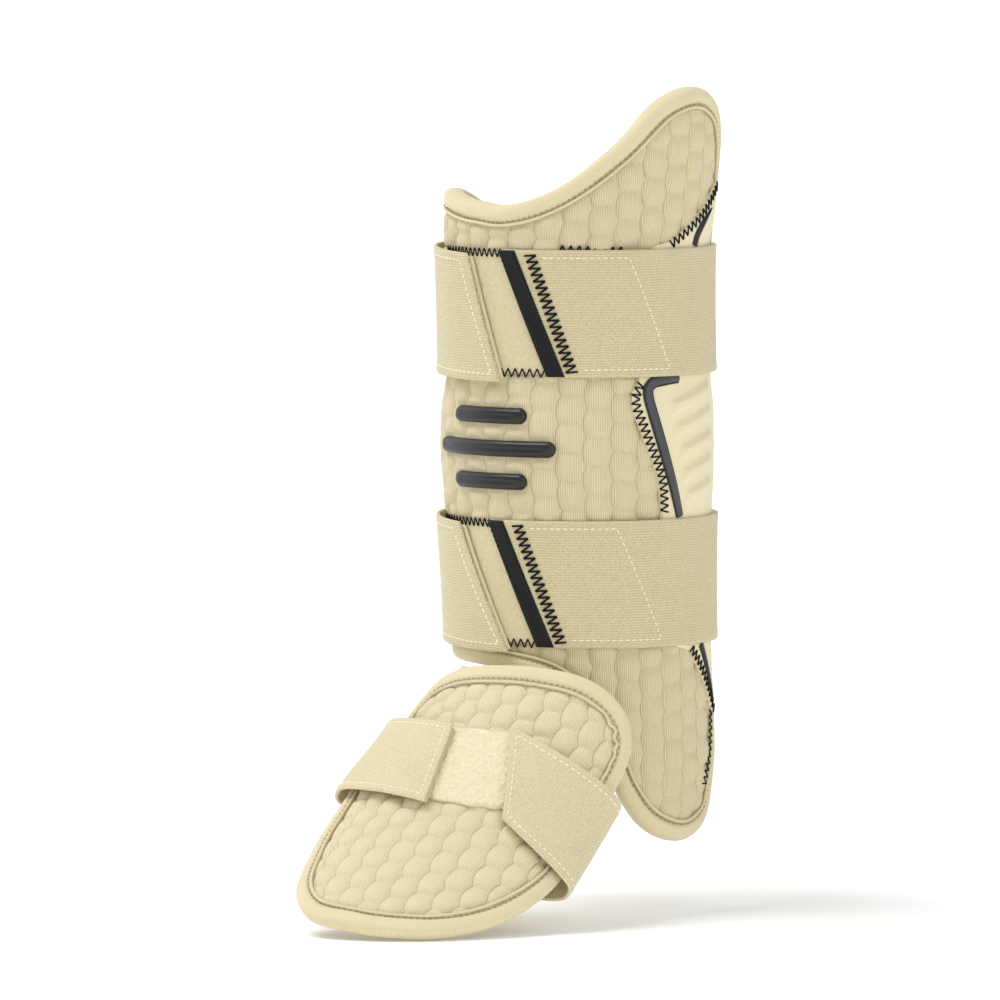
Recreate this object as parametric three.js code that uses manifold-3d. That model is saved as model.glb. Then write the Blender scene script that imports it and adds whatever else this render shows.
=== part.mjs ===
// Batters leg guard for a left leg, in the shape that it has when worn: a padded shin shell with a tall outer
// side and an ankle lobe, two wide elastic straps, and a padded instep flap held by a strap under the foot.
// Millimetres. Z runs up the leg, -Y is the front of the shin and +X the outer side. The origin lies on the
// axis of the leg, halfway between the two shin straps. A turn is an angle round that axis, from the front
// towards the outer side.
import * as THREE from 'three';
import { mergeVertices } from 'three/addons/utils/BufferGeometryUtils.js';
import Module from 'manifold-3d';

const DEG = Math.PI / 180;
const GAP = 0.35; // air left between pieces that touch on the real guard
const SEAM_GAP = 0.7; // the same between a pad and its rolled edge
const FOOT_GAP = 0.55; // the same between the layers on the curved instep flap

// Shin shell
const SHELL_RADIUS = 66; // outer face at mid shin
const SHELL_TOP = 177; // tip of the tall outer side
const SHELL_BOTTOM = -190.5; // tip of the ankle lobe
const SHELL_THICK = 9;
const SHELL_EDGE_WIDTH = 9.6; // rolled edge, measured on the face
const EDGE_PROUD = 0.8; // rolled edges stand out this far from both faces

// Shin straps
const STRAP_WIDTH = 62;
const STRAP_THICK = 1.7;
const UPPER_STRAP_Z = 68;
const LOWER_STRAP_Z = -63.5;
const UPPER_STRAP_TOP = UPPER_STRAP_Z + STRAP_WIDTH / 2;
const UPPER_STRAP_BOTTOM = UPPER_STRAP_Z - STRAP_WIDTH / 2;
const LOWER_STRAP_TOP = LOWER_STRAP_Z + STRAP_WIDTH / 2;
const LOWER_STRAP_BOTTOM = LOWER_STRAP_Z - STRAP_WIDTH / 2;
const STRAP_SAG = 2.6; // the free end of a strap lies this much lower than its sewn end
const TAB_THICK = 1.2;
const PATCH_THICK = 1.3;
const PATCH_START = 318; // turn at which the loop field starts under the free end
const TAB_START = 314; // turn at which the hook tape starts
const LABEL_WIDTH = 9; // dark tape, measured round the leg
const LABEL_THICK = 1;
const PATCH_INSET = 1.5; // the loop field, hook tape and label end this far inside the strap's edges
const TAB_INSET = 2;
const LABEL_INSET = 0.6;
const TAB_REACH = 1.4; // degrees that the hook tape shows past the strap's free end

// Outer side panel and its cord
const PANEL_LIFT = 0.5; // clear height of the panel over the shell
const PANEL_MARGIN = 2.5; // from the panel's rear edge to the rolled edge
const PANEL_THICK = 0.9;
const PIPING_WIDTH = 4.6;
const PIPING_HEIGHT = 1.9;
const RIB_WIDTH = 5;
const RIB_HEIGHT = 1.2;
const RIB_COUNT = 5;
const RIB_FOOT = 9.5; // from the lower strap to the start of the lowest rib
const RIB_HEAD = 16; // from the start of the highest rib to the upper strap
const RIB_LOWEST = LOWER_STRAP_TOP + RIB_FOOT;
const RIB_PITCH = (UPPER_STRAP_BOTTOM - RIB_HEAD - RIB_LOWEST) / (RIB_COUNT - 1);
const RIB_LEAD = 2.6; // each rib starts this much nearer the front than the one below it
const RIB_SLOPE = 0.275; // rise of a rib for each millimetre round the leg

// Raised bars on the front of the shin
const BAR_TURNS = [20, 33, 20]; // half length of each bar from the top down, as a turn
const BAR_MIDDLE = 2; // height of the middle bar
const BAR_HEIGHT = 8;
const BAR_PITCH = 16;
const BAR_THICK = 2.2;

// Instep flap
const FOOT_YAW = 15; // degrees that the foot points outwards
const FLAP_STANDOFF = 11.6; // from the shell's radius to the flap's upper edge
const FLAP_FORWARD = SHELL_RADIUS + FLAP_STANDOFF;
const FLAP_UPPER_Z = -101.4;
const FLAP_LENGTH = 166.5;
const FLAP_HALF = 72; // half width, measured round the flap
const FLAP_THICK = 7.5;
const FLAP_EDGE_WIDTH = 9.5;

// Foot strap
const FOOT_STRAP_WIDTH = 50;
const FOOT_STRAP_THICK = 1.8;
const FOOT_TAB_THICK = 1.2;
const FOOT_PATCH_THICK = 1.4;
const WEB_THICK = 6.4; // folded cloth, up to the back of the flap
const WEB_TURNS = [-18, 30]; // its two sides
const WEB_DROP = 4; // below the flap's upper edge
const WEB_HEIGHT = 13;

const MIN_ROW = 0.6; // least height of a row of faces
const TIP_CUT = 0.9; // a filled outline stops this short of its tips

const SHELL_HEIGHT = SHELL_TOP - SHELL_BOTTOM;

const SECTION_BEND = 0.014; // share of the height over which the rows below blend

// Radius and sideways shift of the shell, as shares of its radius, by share of its height.
// The straps draw it in.
const SHELL_SECTIONS = [
  { up: 0.0, radius: 0.955, shift: 0.041 },
  { up: 0.11, radius: 0.98, shift: 0.055 },
  { up: 0.19, radius: 0.965, shift: 0.055 },
  { up: 0.2517, radius: 0.947, shift: 0.05 },
  { up: 0.4314, radius: 0.975, shift: 0.015 },
  { up: 0.475, radius: 1.0, shift: 0.005 },
  { up: 0.527, radius: 1.008, shift: 0.0 },
  { up: 0.573, radius: 1.0, shift: 0.004 },
  { up: 0.619, radius: 0.967, shift: 0.012 },
  { up: 0.79, radius: 0.975, shift: -0.005 },
  { up: 0.823, radius: 0.995, shift: 0.02 },
  { up: 0.93, radius: 1.015, shift: 0.072 },
  { up: 1.0, radius: 1.02, shift: 0.075 },
];

// Heights at which the shell and its side panel have a row of corners, as shares of the height.
const SHELL_LEVELS = [0.2517, 0.4314, 0.475, 0.527, 0.573, 0.619, 0.79];

// Outer edge of the shell, once round: turn in degrees and share of the height.
const SHELL_OUTLINE = [
  { turn: -100, up: 0.808 },
  { turn: -83, up: 0.841 },
  { turn: -55, up: 0.861 },
  { turn: -9, up: 0.849 },
  { turn: 8, up: 0.846 },
  { turn: 30, up: 0.867 },
  { turn: 54, up: 0.922 },
  { turn: 75, up: 0.982 },
  { turn: 92, up: 1.0 },
  { turn: 104, up: 0.997 },
  { turn: 120, up: 0.968 },
  { turn: 129, up: 0.912 },
  { turn: 132, up: 0.8 },
  { turn: 132, up: 0.5 },
  { turn: 132, up: 0.246 },
  { turn: 128, up: 0.125 },
  { turn: 118, up: 0.03 },
  { turn: 104, up: 0.004 },
  { turn: 89, up: 0.0 },
  { turn: 71.7, up: 0.0207 },
  { turn: 59, up: 0.0645 },
  { turn: 46, up: 0.148 },
  { turn: 30, up: 0.208 },
  { turn: 0, up: 0.23 },
  { turn: -45, up: 0.236 },
  { turn: -86, up: 0.244 },
  { turn: -102, up: 0.3 },
  { turn: -106, up: 0.42 },
  { turn: -106, up: 0.68 },
];

// Front edge of the side panel, from its upper point down.
const PANEL_EDGE = [
  { turn: 119, up: 0.872 },
  { turn: 100, up: 0.827 },
  { turn: 84, up: 0.797 },
  { turn: 75.7, up: 0.787 },
  { turn: 68, up: 0.613 },
  { turn: 64.8, up: 0.592 },
  { turn: 70.3, up: 0.54 },
  { turn: 78, up: 0.48 },
  { turn: 79.5, up: 0.434 },
  { turn: 86.5, up: 0.264 },
  { turn: 96.8, up: 0.251 },
  { turn: 109, up: 0.208 },
  { turn: 118.5, up: 0.165 },
];

// The cord shows in three stretches, above, between and below the straps: turn, height and share of its width.
const UPPER_PIPING = [
  { turn: 102, z: UPPER_STRAP_TOP + 0.8, wide: 1.0 },
  { turn: 104.5, z: UPPER_STRAP_TOP + 8.9, wide: 0.9 },
  { turn: 112, z: UPPER_STRAP_TOP + 16.6, wide: 0.35 },
];
const SIDE_PIPING = [
  { turn: 88, z: UPPER_STRAP_BOTTOM - 3.3, wide: 1.0 },
  { turn: 80.3, z: UPPER_STRAP_BOTTOM - 3.3, wide: 1.0 },
  { turn: 73, z: UPPER_STRAP_BOTTOM - 9.6, wide: 1.0 },
  { turn: 81, z: (UPPER_STRAP_BOTTOM + LOWER_STRAP_TOP) / 2 - 4.6, wide: 1.0 },
  { turn: 89.6, z: LOWER_STRAP_TOP + 1.9, wide: 1.0 },
];
const LOWER_PIPING = [
  { turn: 106.8, z: LOWER_STRAP_BOTTOM - 1.0, wide: 0.7 },
  { turn: 111, z: LOWER_STRAP_BOTTOM - 10.7, wide: 0.6 },
  { turn: 118, z: LOWER_STRAP_BOTTOM - 28, wide: 0.3 },
];

// Clear height of a shin strap over the shell, by turn from its sewn end round the back to its free end.
const STRAP_LIFT = [
  { turn: 0, lift: 0.4 },
  { turn: 56, lift: 0.4 },
  { turn: 64, lift: 2.2 },
  { turn: 136, lift: 2.2 },
  { turn: 150, lift: 2.3 },
  { turn: 290, lift: 2.4 },
  { turn: 304, lift: 3.65 },
  { turn: 372, lift: 3.65 },
];

// Turns of the slanted strap ends at the upper and the lower edge of each strap.
const UPPER_ENDS = { sewnTop: 7.2, sewnBottom: 28.8, freeTop: 351.1, freeBottom: 368.1 };
const LOWER_ENDS = { sewnTop: 0.6, sewnBottom: 22.4, freeTop: 344.4, freeBottom: 369.3 };

// Slope of the flap's ridge in degrees, and its oval cross-section: half width, depth and sideways offset as
// shares of the flap's half width, and roll towards the outer side in degrees.
const FLAP_SECTIONS = [
  { along: 0.0, slope: 61, half: 1.0, deep: 0.944, offset: 0.083, roll: 1 },
  { along: 0.147, slope: 55, half: 0.986, deep: 0.806, offset: 0.069, roll: 6 },
  { along: 0.381, slope: 47, half: 0.986, deep: 0.694, offset: 0.028, roll: 14 },
  { along: 0.616, slope: 43, half: 0.972, deep: 0.611, offset: 0.0, roll: 18 },
  { along: 0.85, slope: 41, half: 0.958, deep: 0.569, offset: -0.042, roll: 19 },
  { along: 1.0, slope: 40, half: 0.965, deep: 0.563, offset: -0.049, roll: 19.6 },
];

// Outer edge of the flap, once round: share of its length down the ridge, share of its half width across.
const FLAP_OUTLINE = [
  { along: 0.0, across: -0.11 },
  { along: 0.0, across: 0.208 },
  { along: 0.006, across: 0.5 },
  { along: 0.035, across: 0.722 },
  { along: 0.082, across: 0.882 },
  { along: 0.158, across: 0.972 },
  { along: 0.311, across: 0.951 },
  { along: 0.499, across: 0.896 },
  { along: 0.622, across: 0.84 },
  { along: 0.762, across: 0.694 },
  { along: 0.862, across: 0.514 },
  { along: 0.944, across: 0.264 },
  { along: 0.991, across: -0.042 },
  { along: 1.0, across: -0.278 },
  { along: 0.974, across: -0.625 },
  { along: 0.862, across: -0.868 },
  { along: 0.704, across: -0.972 },
  { along: 0.499, across: -1.0 },
  { along: 0.235, across: -1.0 },
  { along: 0.111, across: -0.93 },
  { along: 0.029, across: -0.764 },
  { along: 0.003, across: -0.528 },
];

// Rounded loop field on the flap.
const FOOT_PATCH = { along: 0.358, across: -0.07, halfAlong: 0.135, halfAcross: 0.58 };

// Foot strap from its outer end under the foot to its inner end: back and front edge as shares of the flap's
// half width across, middle as a share of the flap's length, and clear height over the flap.
const FOOT_STRAP = [
  { back: 0.139, front: 0.319, along: 0.366, lift: 4.3 },
  { back: 0.42, front: 0.5, along: 0.4, lift: 4.2 },
  { back: 0.7, front: 0.68, along: 0.425, lift: 4 },
  { back: 0.89, front: 0.8, along: 0.438, lift: 3.9 },
  { back: 0.985, front: 0.905, along: 0.446, lift: 2.6 },
  { back: 1.045, front: 0.965, along: 0.45, lift: -4 },
  { back: 0.98, front: 0.91, along: 0.446, lift: -17 },
  { back: 0.6, front: 0.55, along: 0.42, lift: -33 },
  { back: 0.0, front: 0.0, along: 0.37, lift: -42 },
  { back: -0.6, front: -0.6, along: 0.32, lift: -34 },
  { back: -1.02, front: -1.02, along: 0.29, lift: -16 },
  { back: -1.1, front: -1.1, along: 0.288, lift: 0.5 },
  { back: -0.94, front: -0.95, along: 0.3, lift: 5.0 },
  { back: -0.68, front: -0.68, along: 0.335, lift: 4.4 },
  { back: -0.45, front: -0.42, along: 0.362, lift: 4.5 },
  { back: -0.25, front: -0.194, along: 0.378, lift: 4.3 },
];

// Value of one column of a table at a place in another column, on straight lines between rows.
function tableAt(rows, key, place, column) {
  const last = rows.length - 1;
  if (place <= rows[0][key]) return rows[0][column];
  if (place >= rows[last][key]) return rows[last][column];
  const next = rows.findIndex((row) => row[key] > place);
  const low = rows[next - 1];
  const high = rows[next];
  const share = (place - low[key]) / (high[key] - low[key]);
  return THREE.MathUtils.lerp(low[column], high[column], share);
}

// The same with soft bends at the rows, by averaging over a short stretch.
function softAt(rows, key, place, column, reach) {
  const steps = 4;
  let sum = 0;
  for (let i = -steps; i <= steps; i++) {
    sum += tableAt(rows, key, place + (reach * i) / steps, column);
  }
  return sum / (2 * steps + 1);
}

// Point at a distance round the leg (in millimetres on the shell's face), a height and a lift off the face.
function onShin(round, z, lift) {
  const up = (z - SHELL_BOTTOM) / SHELL_HEIGHT;
  const radius = softAt(SHELL_SECTIONS, 'up', up, 'radius', SECTION_BEND) * SHELL_RADIUS + lift;
  const shift = softAt(SHELL_SECTIONS, 'up', up, 'shift', SECTION_BEND) * SHELL_RADIUS;
  const turn = round / SHELL_RADIUS;
  return new THREE.Vector3(shift + radius * Math.sin(turn), -radius * Math.cos(turn), z);
}

function roundOf(turn) {
  return turn * DEG * SHELL_RADIUS;
}

function heightOf(up) {
  return SHELL_BOTTOM + up * SHELL_HEIGHT;
}

const FORWARD = new THREE.Vector3(Math.sin(FOOT_YAW * DEG), -Math.cos(FOOT_YAW * DEG), 0);
const OUTWARD = new THREE.Vector3(Math.cos(FOOT_YAW * DEG), Math.sin(FOOT_YAW * DEG), 0);
const UP = new THREE.Vector3(0, 0, 1);

// Forward reach, drop and slope of the flap's ridge, a millimetre of its length at a time.
const RIDGE = [{ reach: FLAP_FORWARD, z: FLAP_UPPER_Z }];
for (let i = 0; i < Math.ceil(FLAP_LENGTH); i++) {
  const slope = tableAt(FLAP_SECTIONS, 'along', (i + 0.5) / FLAP_LENGTH, 'slope') * DEG;
  const from = RIDGE[i];
  RIDGE.push({ reach: from.reach + Math.cos(slope), z: from.z - Math.sin(slope) });
}

// Angle in an oval at which the arc from its top reaches the given length.
function ovalAngle(arc, half, deep) {
  const step = 0.5 * DEG;
  let angle = 0;
  let length = 0;
  while (length < Math.abs(arc)) {
    angle += step;
    length += step * Math.hypot(half * Math.cos(angle), deep * Math.sin(angle));
  }
  const over = (length - Math.abs(arc)) / Math.hypot(half * Math.cos(angle), deep * Math.sin(angle));
  return Math.sign(arc) * (angle - over);
}

// Point at a distance across the flap (outwards), a distance down its ridge and a lift off its upper face.
function onFlap(across, down, lift) {
  const along = down / FLAP_LENGTH;
  const at = (column) => tableAt(FLAP_SECTIONS, 'along', along, column);
  const slope = at('slope') * DEG;
  const roll = at('roll') * DEG;
  const half = at('half') * FLAP_HALF;
  const deep = at('deep') * FLAP_HALF;
  const cell = THREE.MathUtils.clamp(Math.floor(down), 0, RIDGE.length - 2);
  const share = down - cell;
  const reach = THREE.MathUtils.lerp(RIDGE[cell].reach, RIDGE[cell + 1].reach, share);
  const z = THREE.MathUtils.lerp(RIDGE[cell].z, RIDGE[cell + 1].z, share);
  const rise = FORWARD.clone().multiplyScalar(Math.sin(slope)).addScaledVector(UP, Math.cos(slope));
  const side = OUTWARD.clone().multiplyScalar(Math.cos(roll)).addScaledVector(rise, -Math.sin(roll));
  const out = rise.multiplyScalar(Math.cos(roll)).addScaledVector(OUTWARD, Math.sin(roll));
  const angle = ovalAngle(across, half, deep);
  const facing = new THREE.Vector2(deep * Math.sin(angle), half * Math.cos(angle)).normalize();
  return FORWARD.clone()
    .multiplyScalar(reach)
    .addScaledVector(UP, z)
    .addScaledVector(OUTWARD, at('offset') * FLAP_HALF)
    .addScaledVector(side, half * Math.sin(angle) + lift * facing.x)
    .addScaledVector(out, -deep * (1 - Math.cos(angle)) + lift * facing.y);
}

// Smooth closed loop of evenly spaced points through the given corners, run anticlockwise.
function smoothLoop(corners, count) {
  const knots = corners.map((p) => new THREE.Vector3(p.x, p.y, 0));
  const curve = new THREE.CatmullRomCurve3(knots, true, 'centripetal');
  const points = curve.getSpacedPoints(count).slice(0, count);
  const loop = points.map((p) => new THREE.Vector2(p.x, p.y));
  return THREE.ShapeUtils.isClockWise(loop) ? loop.reverse() : loop;
}

// Smooth open line through the given corners.
function smoothLine(corners, count) {
  const knots = corners.map((p) => new THREE.Vector3(p.x, p.y, p.z ?? 0));
  return new THREE.CatmullRomCurve3(knots, false, 'centripetal').getSpacedPoints(count);
}

// Unit normal to the left of a line's or an anticlockwise loop's point.
function leftNormal(points, i, closed) {
  const n = points.length;
  const before = closed ? points[(i + n - 1) % n] : points[Math.max(i - 1, 0)];
  const after = closed ? points[(i + 1) % n] : points[Math.min(i + 1, n - 1)];
  return new THREE.Vector2(before.y - after.y, after.x - before.x).normalize();
}

// Loop moved inwards by a distance.
function insetLoop(loop, distance) {
  return loop.map((p, i) => leftNormal(loop, i, true).multiplyScalar(distance).add(p));
}

// Lowest and highest place of a loop on an upright line.
function chord(loop, x) {
  const hits = [];
  loop.forEach((p, i) => {
    const q = loop[(i + 1) % loop.length];
    if (p.x <= x !== q.x <= x) hits.push(p.y + ((x - p.x) / (q.x - p.x)) * (q.y - p.y));
  });
  return [Math.min(...hits), Math.max(...hits)];
}

// Grid of flat points that fills a loop: columns closer together near both ends, each spread over its chord.
// The loop's own corners can have columns too, and rows can keep to given levels.
function fillLoop(loop, columns, rows, corners = [], levels = []) {
  const xs = loop.map((p) => p.x);
  const start = Math.min(...xs);
  const width = Math.max(...xs) - start;
  const margin = TIP_CUT / width;
  const own = corners.map((x) => (x - start) / width);
  const ease = (even) => even - 0.11 * Math.sin(2 * Math.PI * even);
  const eased = Array.from({ length: columns + 1 }, (_, i) => ease(i / columns));
  const free = eased.filter((share) => own.every((corner) => Math.abs(corner - share) > 0.3 / columns));
  const inside = [...own, ...free].map((share) => THREE.MathUtils.clamp(share, margin, 1 - margin));
  const places = [...new Set(inside)].sort((a, b) => a - b);
  return places.map((share) => {
    const x = start + width * share;
    const [low, high] = chord(loop, x);
    const even = (from, to, j) => THREE.MathUtils.lerp(from, to, j / rows);
    const wanted = [low];
    if (levels.length > 0) {
      for (let j = 1; j < rows; j++) wanted.push(even(low, levels[0], j));
      wanted.push(...levels);
      for (let j = 1; j < rows; j++) wanted.push(even(levels[levels.length - 1], high, j));
    } else {
      for (let j = 1; j < rows; j++) wanted.push(even(low, high, j));
    }
    wanted.push(high);
    const end = wanted.length - 1;
    const step = Math.min(MIN_ROW, (high - low) / (2 * end));
    const kept = wanted.map((y, j) => THREE.MathUtils.clamp(y, low + j * step, high - (end - j) * step));
    return kept.map((y) => new THREE.Vector2(x, y));
  });
}

function geometryOf(vertices, faces) {
  const geometry = new THREE.BufferGeometry();
  const places = vertices.flatMap((v) => v.toArray());
  geometry.setAttribute('position', new THREE.Float32BufferAttribute(places, 3));
  let volume = 0;
  for (const [a, b, c] of faces) {
    volume += vertices[a].dot(new THREE.Vector3().crossVectors(vertices[b], vertices[c]));
  }
  const ordered = volume > 0 ? faces : faces.map(([a, b, c]) => [a, c, b]);
  geometry.setIndex(ordered.flat());
  geometry.computeVertexNormals();
  return geometry;
}

// Closed sheet between two matching grids of points in space.
function slab(outer, inner) {
  const columns = outer.length;
  const rows = outer[0].length;
  const vertices = [...outer.flat(), ...inner.flat()];
  const lower = columns * rows;
  const faces = [];
  const quad = (a, b, c, d) => faces.push([a, b, c], [a, c, d]);
  const at = (i, j) => i * rows + j;
  for (let i = 0; i < columns - 1; i++) {
    for (let j = 0; j < rows - 1; j++) {
      quad(at(i, j), at(i + 1, j), at(i + 1, j + 1), at(i, j + 1));
      quad(lower + at(i, j), lower + at(i, j + 1), lower + at(i + 1, j + 1), lower + at(i + 1, j));
    }
    quad(at(i, 0), lower + at(i, 0), lower + at(i + 1, 0), at(i + 1, 0));
    quad(at(i, rows - 1), at(i + 1, rows - 1), lower + at(i + 1, rows - 1), lower + at(i, rows - 1));
  }
  for (let j = 0; j < rows - 1; j++) {
    quad(at(0, j), at(0, j + 1), lower + at(0, j + 1), lower + at(0, j));
    quad(at(columns - 1, j), lower + at(columns - 1, j), lower + at(columns - 1, j + 1), at(columns - 1, j + 1));
  }
  return geometryOf(vertices, faces);
}

// Sheet on a surface, from a flat grid. Its lift may be a number or a function of the flat point.
function sheetOn(surface, grid, lift, thick) {
  const base = (p) => (typeof lift === 'function' ? lift(p) : lift);
  const place = (extra) => grid.map((column) => column.map((p) => surface(p.x, p.y, base(p) + extra)));
  return slab(place(thick), place(0));
}

// Rounded bead along a flat line on a surface, from its lowest to its highest lift.
function beadOn(surface, line, closed, width, low, high, widths) {
  const sides = closed ? 8 : 6;
  const rings = line.map((p, i) => {
    const normal = leftNormal(line, i, closed);
    const scale = widths ? widths[i] : 1;
    const ring = [];
    for (let k = 0; k < sides; k++) {
      const angle = (2 * Math.PI * (k + 0.5)) / sides;
      const x = 0.5 * width * scale * Math.sign(Math.cos(angle)) * Math.abs(Math.cos(angle)) ** 0.8;
      const y = Math.sign(Math.sin(angle)) * Math.abs(Math.sin(angle)) ** 0.8;
      const top = low + (high - low) * (closed ? 1 : scale);
      const lift = THREE.MathUtils.lerp(low, top, 0.5 + 0.5 * y);
      ring.push(surface(p.x + normal.x * x, p.y + normal.y * x, lift));
    }
    return ring;
  });
  const vertices = rings.flat();
  const faces = [];
  const spans = closed ? rings.length : rings.length - 1;
  for (let i = 0; i < spans; i++) {
    for (let k = 0; k < sides; k++) {
      const a = i * sides + k;
      const b = i * sides + ((k + 1) % sides);
      const c = ((i + 1) % rings.length) * sides + ((k + 1) % sides);
      const d = ((i + 1) % rings.length) * sides + k;
      faces.push([a, b, c], [a, c, d]);
    }
  }
  if (!closed) {
    const end = (rings.length - 1) * sides;
    for (let k = 1; k < sides - 1; k++) faces.push([0, k + 1, k], [end, end + k, end + k + 1]);
  }
  return geometryOf(vertices, faces);
}

const wasm = await Module();
wasm.setup();

function solidOf(geometry) {
  const bare = geometry.clone();
  bare.deleteAttribute('normal');
  const merged = mergeVertices(bare, 1e-4);
  const mesh = new wasm.Mesh({
    numProp: 3,
    vertProperties: merged.attributes.position.array,
    triVerts: new Uint32Array(merged.index.array),
  });
  return new wasm.Manifold(mesh);
}

// One geometry of a sheet and the ribs that are sunk into it.
function joined(base, additions) {
  const whole = additions.reduce((sum, one) => sum.add(solidOf(one)), solidOf(base));
  const mesh = whole.getMesh();
  const geometry = new THREE.BufferGeometry();
  geometry.setAttribute('position', new THREE.Float32BufferAttribute(mesh.vertProperties, 3));
  geometry.setIndex(Array.from(mesh.triVerts));
  geometry.computeVertexNormals();
  return geometry;
}

const CLOTH = { color: 0xdccfa9, roughness: 0.9, metalness: 0 };
const EDGE = { color: 0xe0d3ae, roughness: 0.85, metalness: 0 };
const ELASTIC = { color: 0xd8caa2, roughness: 0.85, metalness: 0 };
const LOOP = { color: 0xe6dbba, roughness: 1, metalness: 0 };
const DARK = { color: 0x1d1f22, roughness: 0.5, metalness: 0 };
const GREY = { color: 0x3c3f45, roughness: 0.45, metalness: 0 };

const legGuard = new THREE.Group();

function addPiece(name, geometry, look) {
  const mesh = new THREE.Mesh(geometry, new THREE.MeshStandardMaterial(look));
  mesh.name = name;
  legGuard.add(mesh);
}

// Shin shell and its rolled edge
const shellEdge = smoothLoop(
  SHELL_OUTLINE.map((row) => ({ x: roundOf(row.turn), y: heightOf(row.up) })),
  120,
);
const shellLevels = SHELL_LEVELS.map(heightOf);
const shellBody = insetLoop(shellEdge, SHELL_EDGE_WIDTH + SEAM_GAP);
const shellGrid = fillLoop(shellBody, 42, 3, [], shellLevels);
addPiece('shin_shell', sheetOn(onShin, shellGrid, -SHELL_THICK, SHELL_THICK), CLOTH);
const shellEdgeMiddle = insetLoop(shellEdge, SHELL_EDGE_WIDTH / 2);
addPiece(
  'shin_binding',
  beadOn(onShin, shellEdgeMiddle, true, SHELL_EDGE_WIDTH, -SHELL_THICK - EDGE_PROUD, EDGE_PROUD),
  EDGE,
);

// Side panel with moulded ribs
const panelFront = smoothLine(
  PANEL_EDGE.map((row) => ({ x: roundOf(row.turn), y: heightOf(row.up) })),
  40,
).map((p) => new THREE.Vector2(p.x, p.y));
const panelEnds = [panelFront[panelFront.length - 1].y, panelFront[0].y];
const panelRear = insetLoop(shellBody, PANEL_MARGIN)
  .filter((p) => p.x > roundOf(110) && p.y > panelEnds[0] && p.y < panelEnds[1]);
const panelGrid = fillLoop([...panelFront, ...panelRear], 13, 3, [], shellLevels);
const panelSheet = sheetOn(onShin, panelGrid, PANEL_LIFT, PANEL_THICK);
const ribs = [];
const ribEnd = roundOf(117);
for (let i = 0; i < RIB_COUNT; i++) {
  const start = roundOf(84) + (RIB_COUNT - 1 - i) * RIB_LEAD;
  const grid = [];
  for (let k = 0; k <= 6; k++) {
    const x = THREE.MathUtils.lerp(start, ribEnd, k / 6);
    const z = RIB_LOWEST + RIB_PITCH * i + (x - start) * RIB_SLOPE;
    grid.push([new THREE.Vector2(x, z - RIB_WIDTH / 2), new THREE.Vector2(x, z + RIB_WIDTH / 2)]);
  }
  const sunk = PANEL_THICK / 2;
  ribs.push(sheetOn(onShin, grid, PANEL_LIFT + sunk, sunk + RIB_HEIGHT));
}
addPiece('side_panel', joined(panelSheet, ribs), CLOTH);

// Cord along the front of the side panel
const pipingBase = PANEL_LIFT + PANEL_THICK + SEAM_GAP;
for (const [name, rows] of [
  ['upper_piping', UPPER_PIPING],
  ['side_piping', SIDE_PIPING],
  ['lower_piping', LOWER_PIPING],
]) {
  const corners = rows.map((row) => ({ x: roundOf(row.turn), y: row.z, z: row.wide }));
  const line = smoothLine(corners, 12);
  const widths = line.map((p) => p.z);
  const cord = beadOn(onShin, line, false, PIPING_WIDTH, pipingBase, pipingBase + PIPING_HEIGHT, widths);
  addPiece(name, cord, GREY);
}

// Shin straps: loop field, hook tab, strap and label
function addStrap(prefix, middle, ends) {
  const top = middle + STRAP_WIDTH / 2;
  const bottom = middle - STRAP_WIDTH / 2;
  const sag = (turn) => STRAP_SAG * THREE.MathUtils.smoothstep(turn, 290, 365);
  const slanted = (fromTop, toTop, fromBottom, toBottom, columns, inset) => {
    const loop = [];
    for (let i = 0; i <= columns; i++) {
      const turn = THREE.MathUtils.lerp(fromBottom, toBottom, i / columns);
      loop.push(new THREE.Vector2(roundOf(turn), bottom + inset - sag(turn)));
    }
    for (let i = columns; i >= 0; i--) {
      const turn = THREE.MathUtils.lerp(fromTop, toTop, i / columns);
      loop.push(new THREE.Vector2(roundOf(turn), top - inset - sag(turn)));
    }
    const corners = [Math.max(fromTop, fromBottom), Math.min(toTop, toBottom)];
    return fillLoop(loop, columns, 1, corners.map(roundOf));
  };
  const liftAt = (p) => softAt(STRAP_LIFT, 'turn', p.x / SHELL_RADIUS / DEG, 'lift', 3);
  const { sewnTop, sewnBottom, freeTop, freeBottom } = ends;
  const patch = slanted(PATCH_START, sewnTop + 359, PATCH_START, sewnBottom + 359, 14, PATCH_INSET);
  addPiece(`${prefix}_patch`, sheetOn(onShin, patch, GAP, PATCH_THICK), LOOP);
  const tab = slanted(TAB_START, freeTop + TAB_REACH, TAB_START, freeBottom + TAB_REACH, 10, TAB_INSET);
  addPiece(`${prefix}_tab`, sheetOn(onShin, tab, 2 * GAP + PATCH_THICK, TAB_THICK), LOOP);
  const strap = slanted(sewnTop, freeTop, sewnBottom, freeBottom, 56, 0);
  addPiece(`${prefix}_strap`, sheetOn(onShin, strap, liftAt, STRAP_THICK), ELASTIC);
  const labelTurn = LABEL_WIDTH / SHELL_RADIUS / DEG;
  const label = slanted(sewnTop, sewnTop + labelTurn, sewnBottom, sewnBottom + labelTurn, 6, LABEL_INSET);
  addPiece(`${prefix}_label`, sheetOn(onShin, label, 2 * GAP + STRAP_THICK, LABEL_THICK), DARK);
}
addStrap('upper', UPPER_STRAP_Z, UPPER_ENDS);
addStrap('lower', LOWER_STRAP_Z, LOWER_ENDS);

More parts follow.
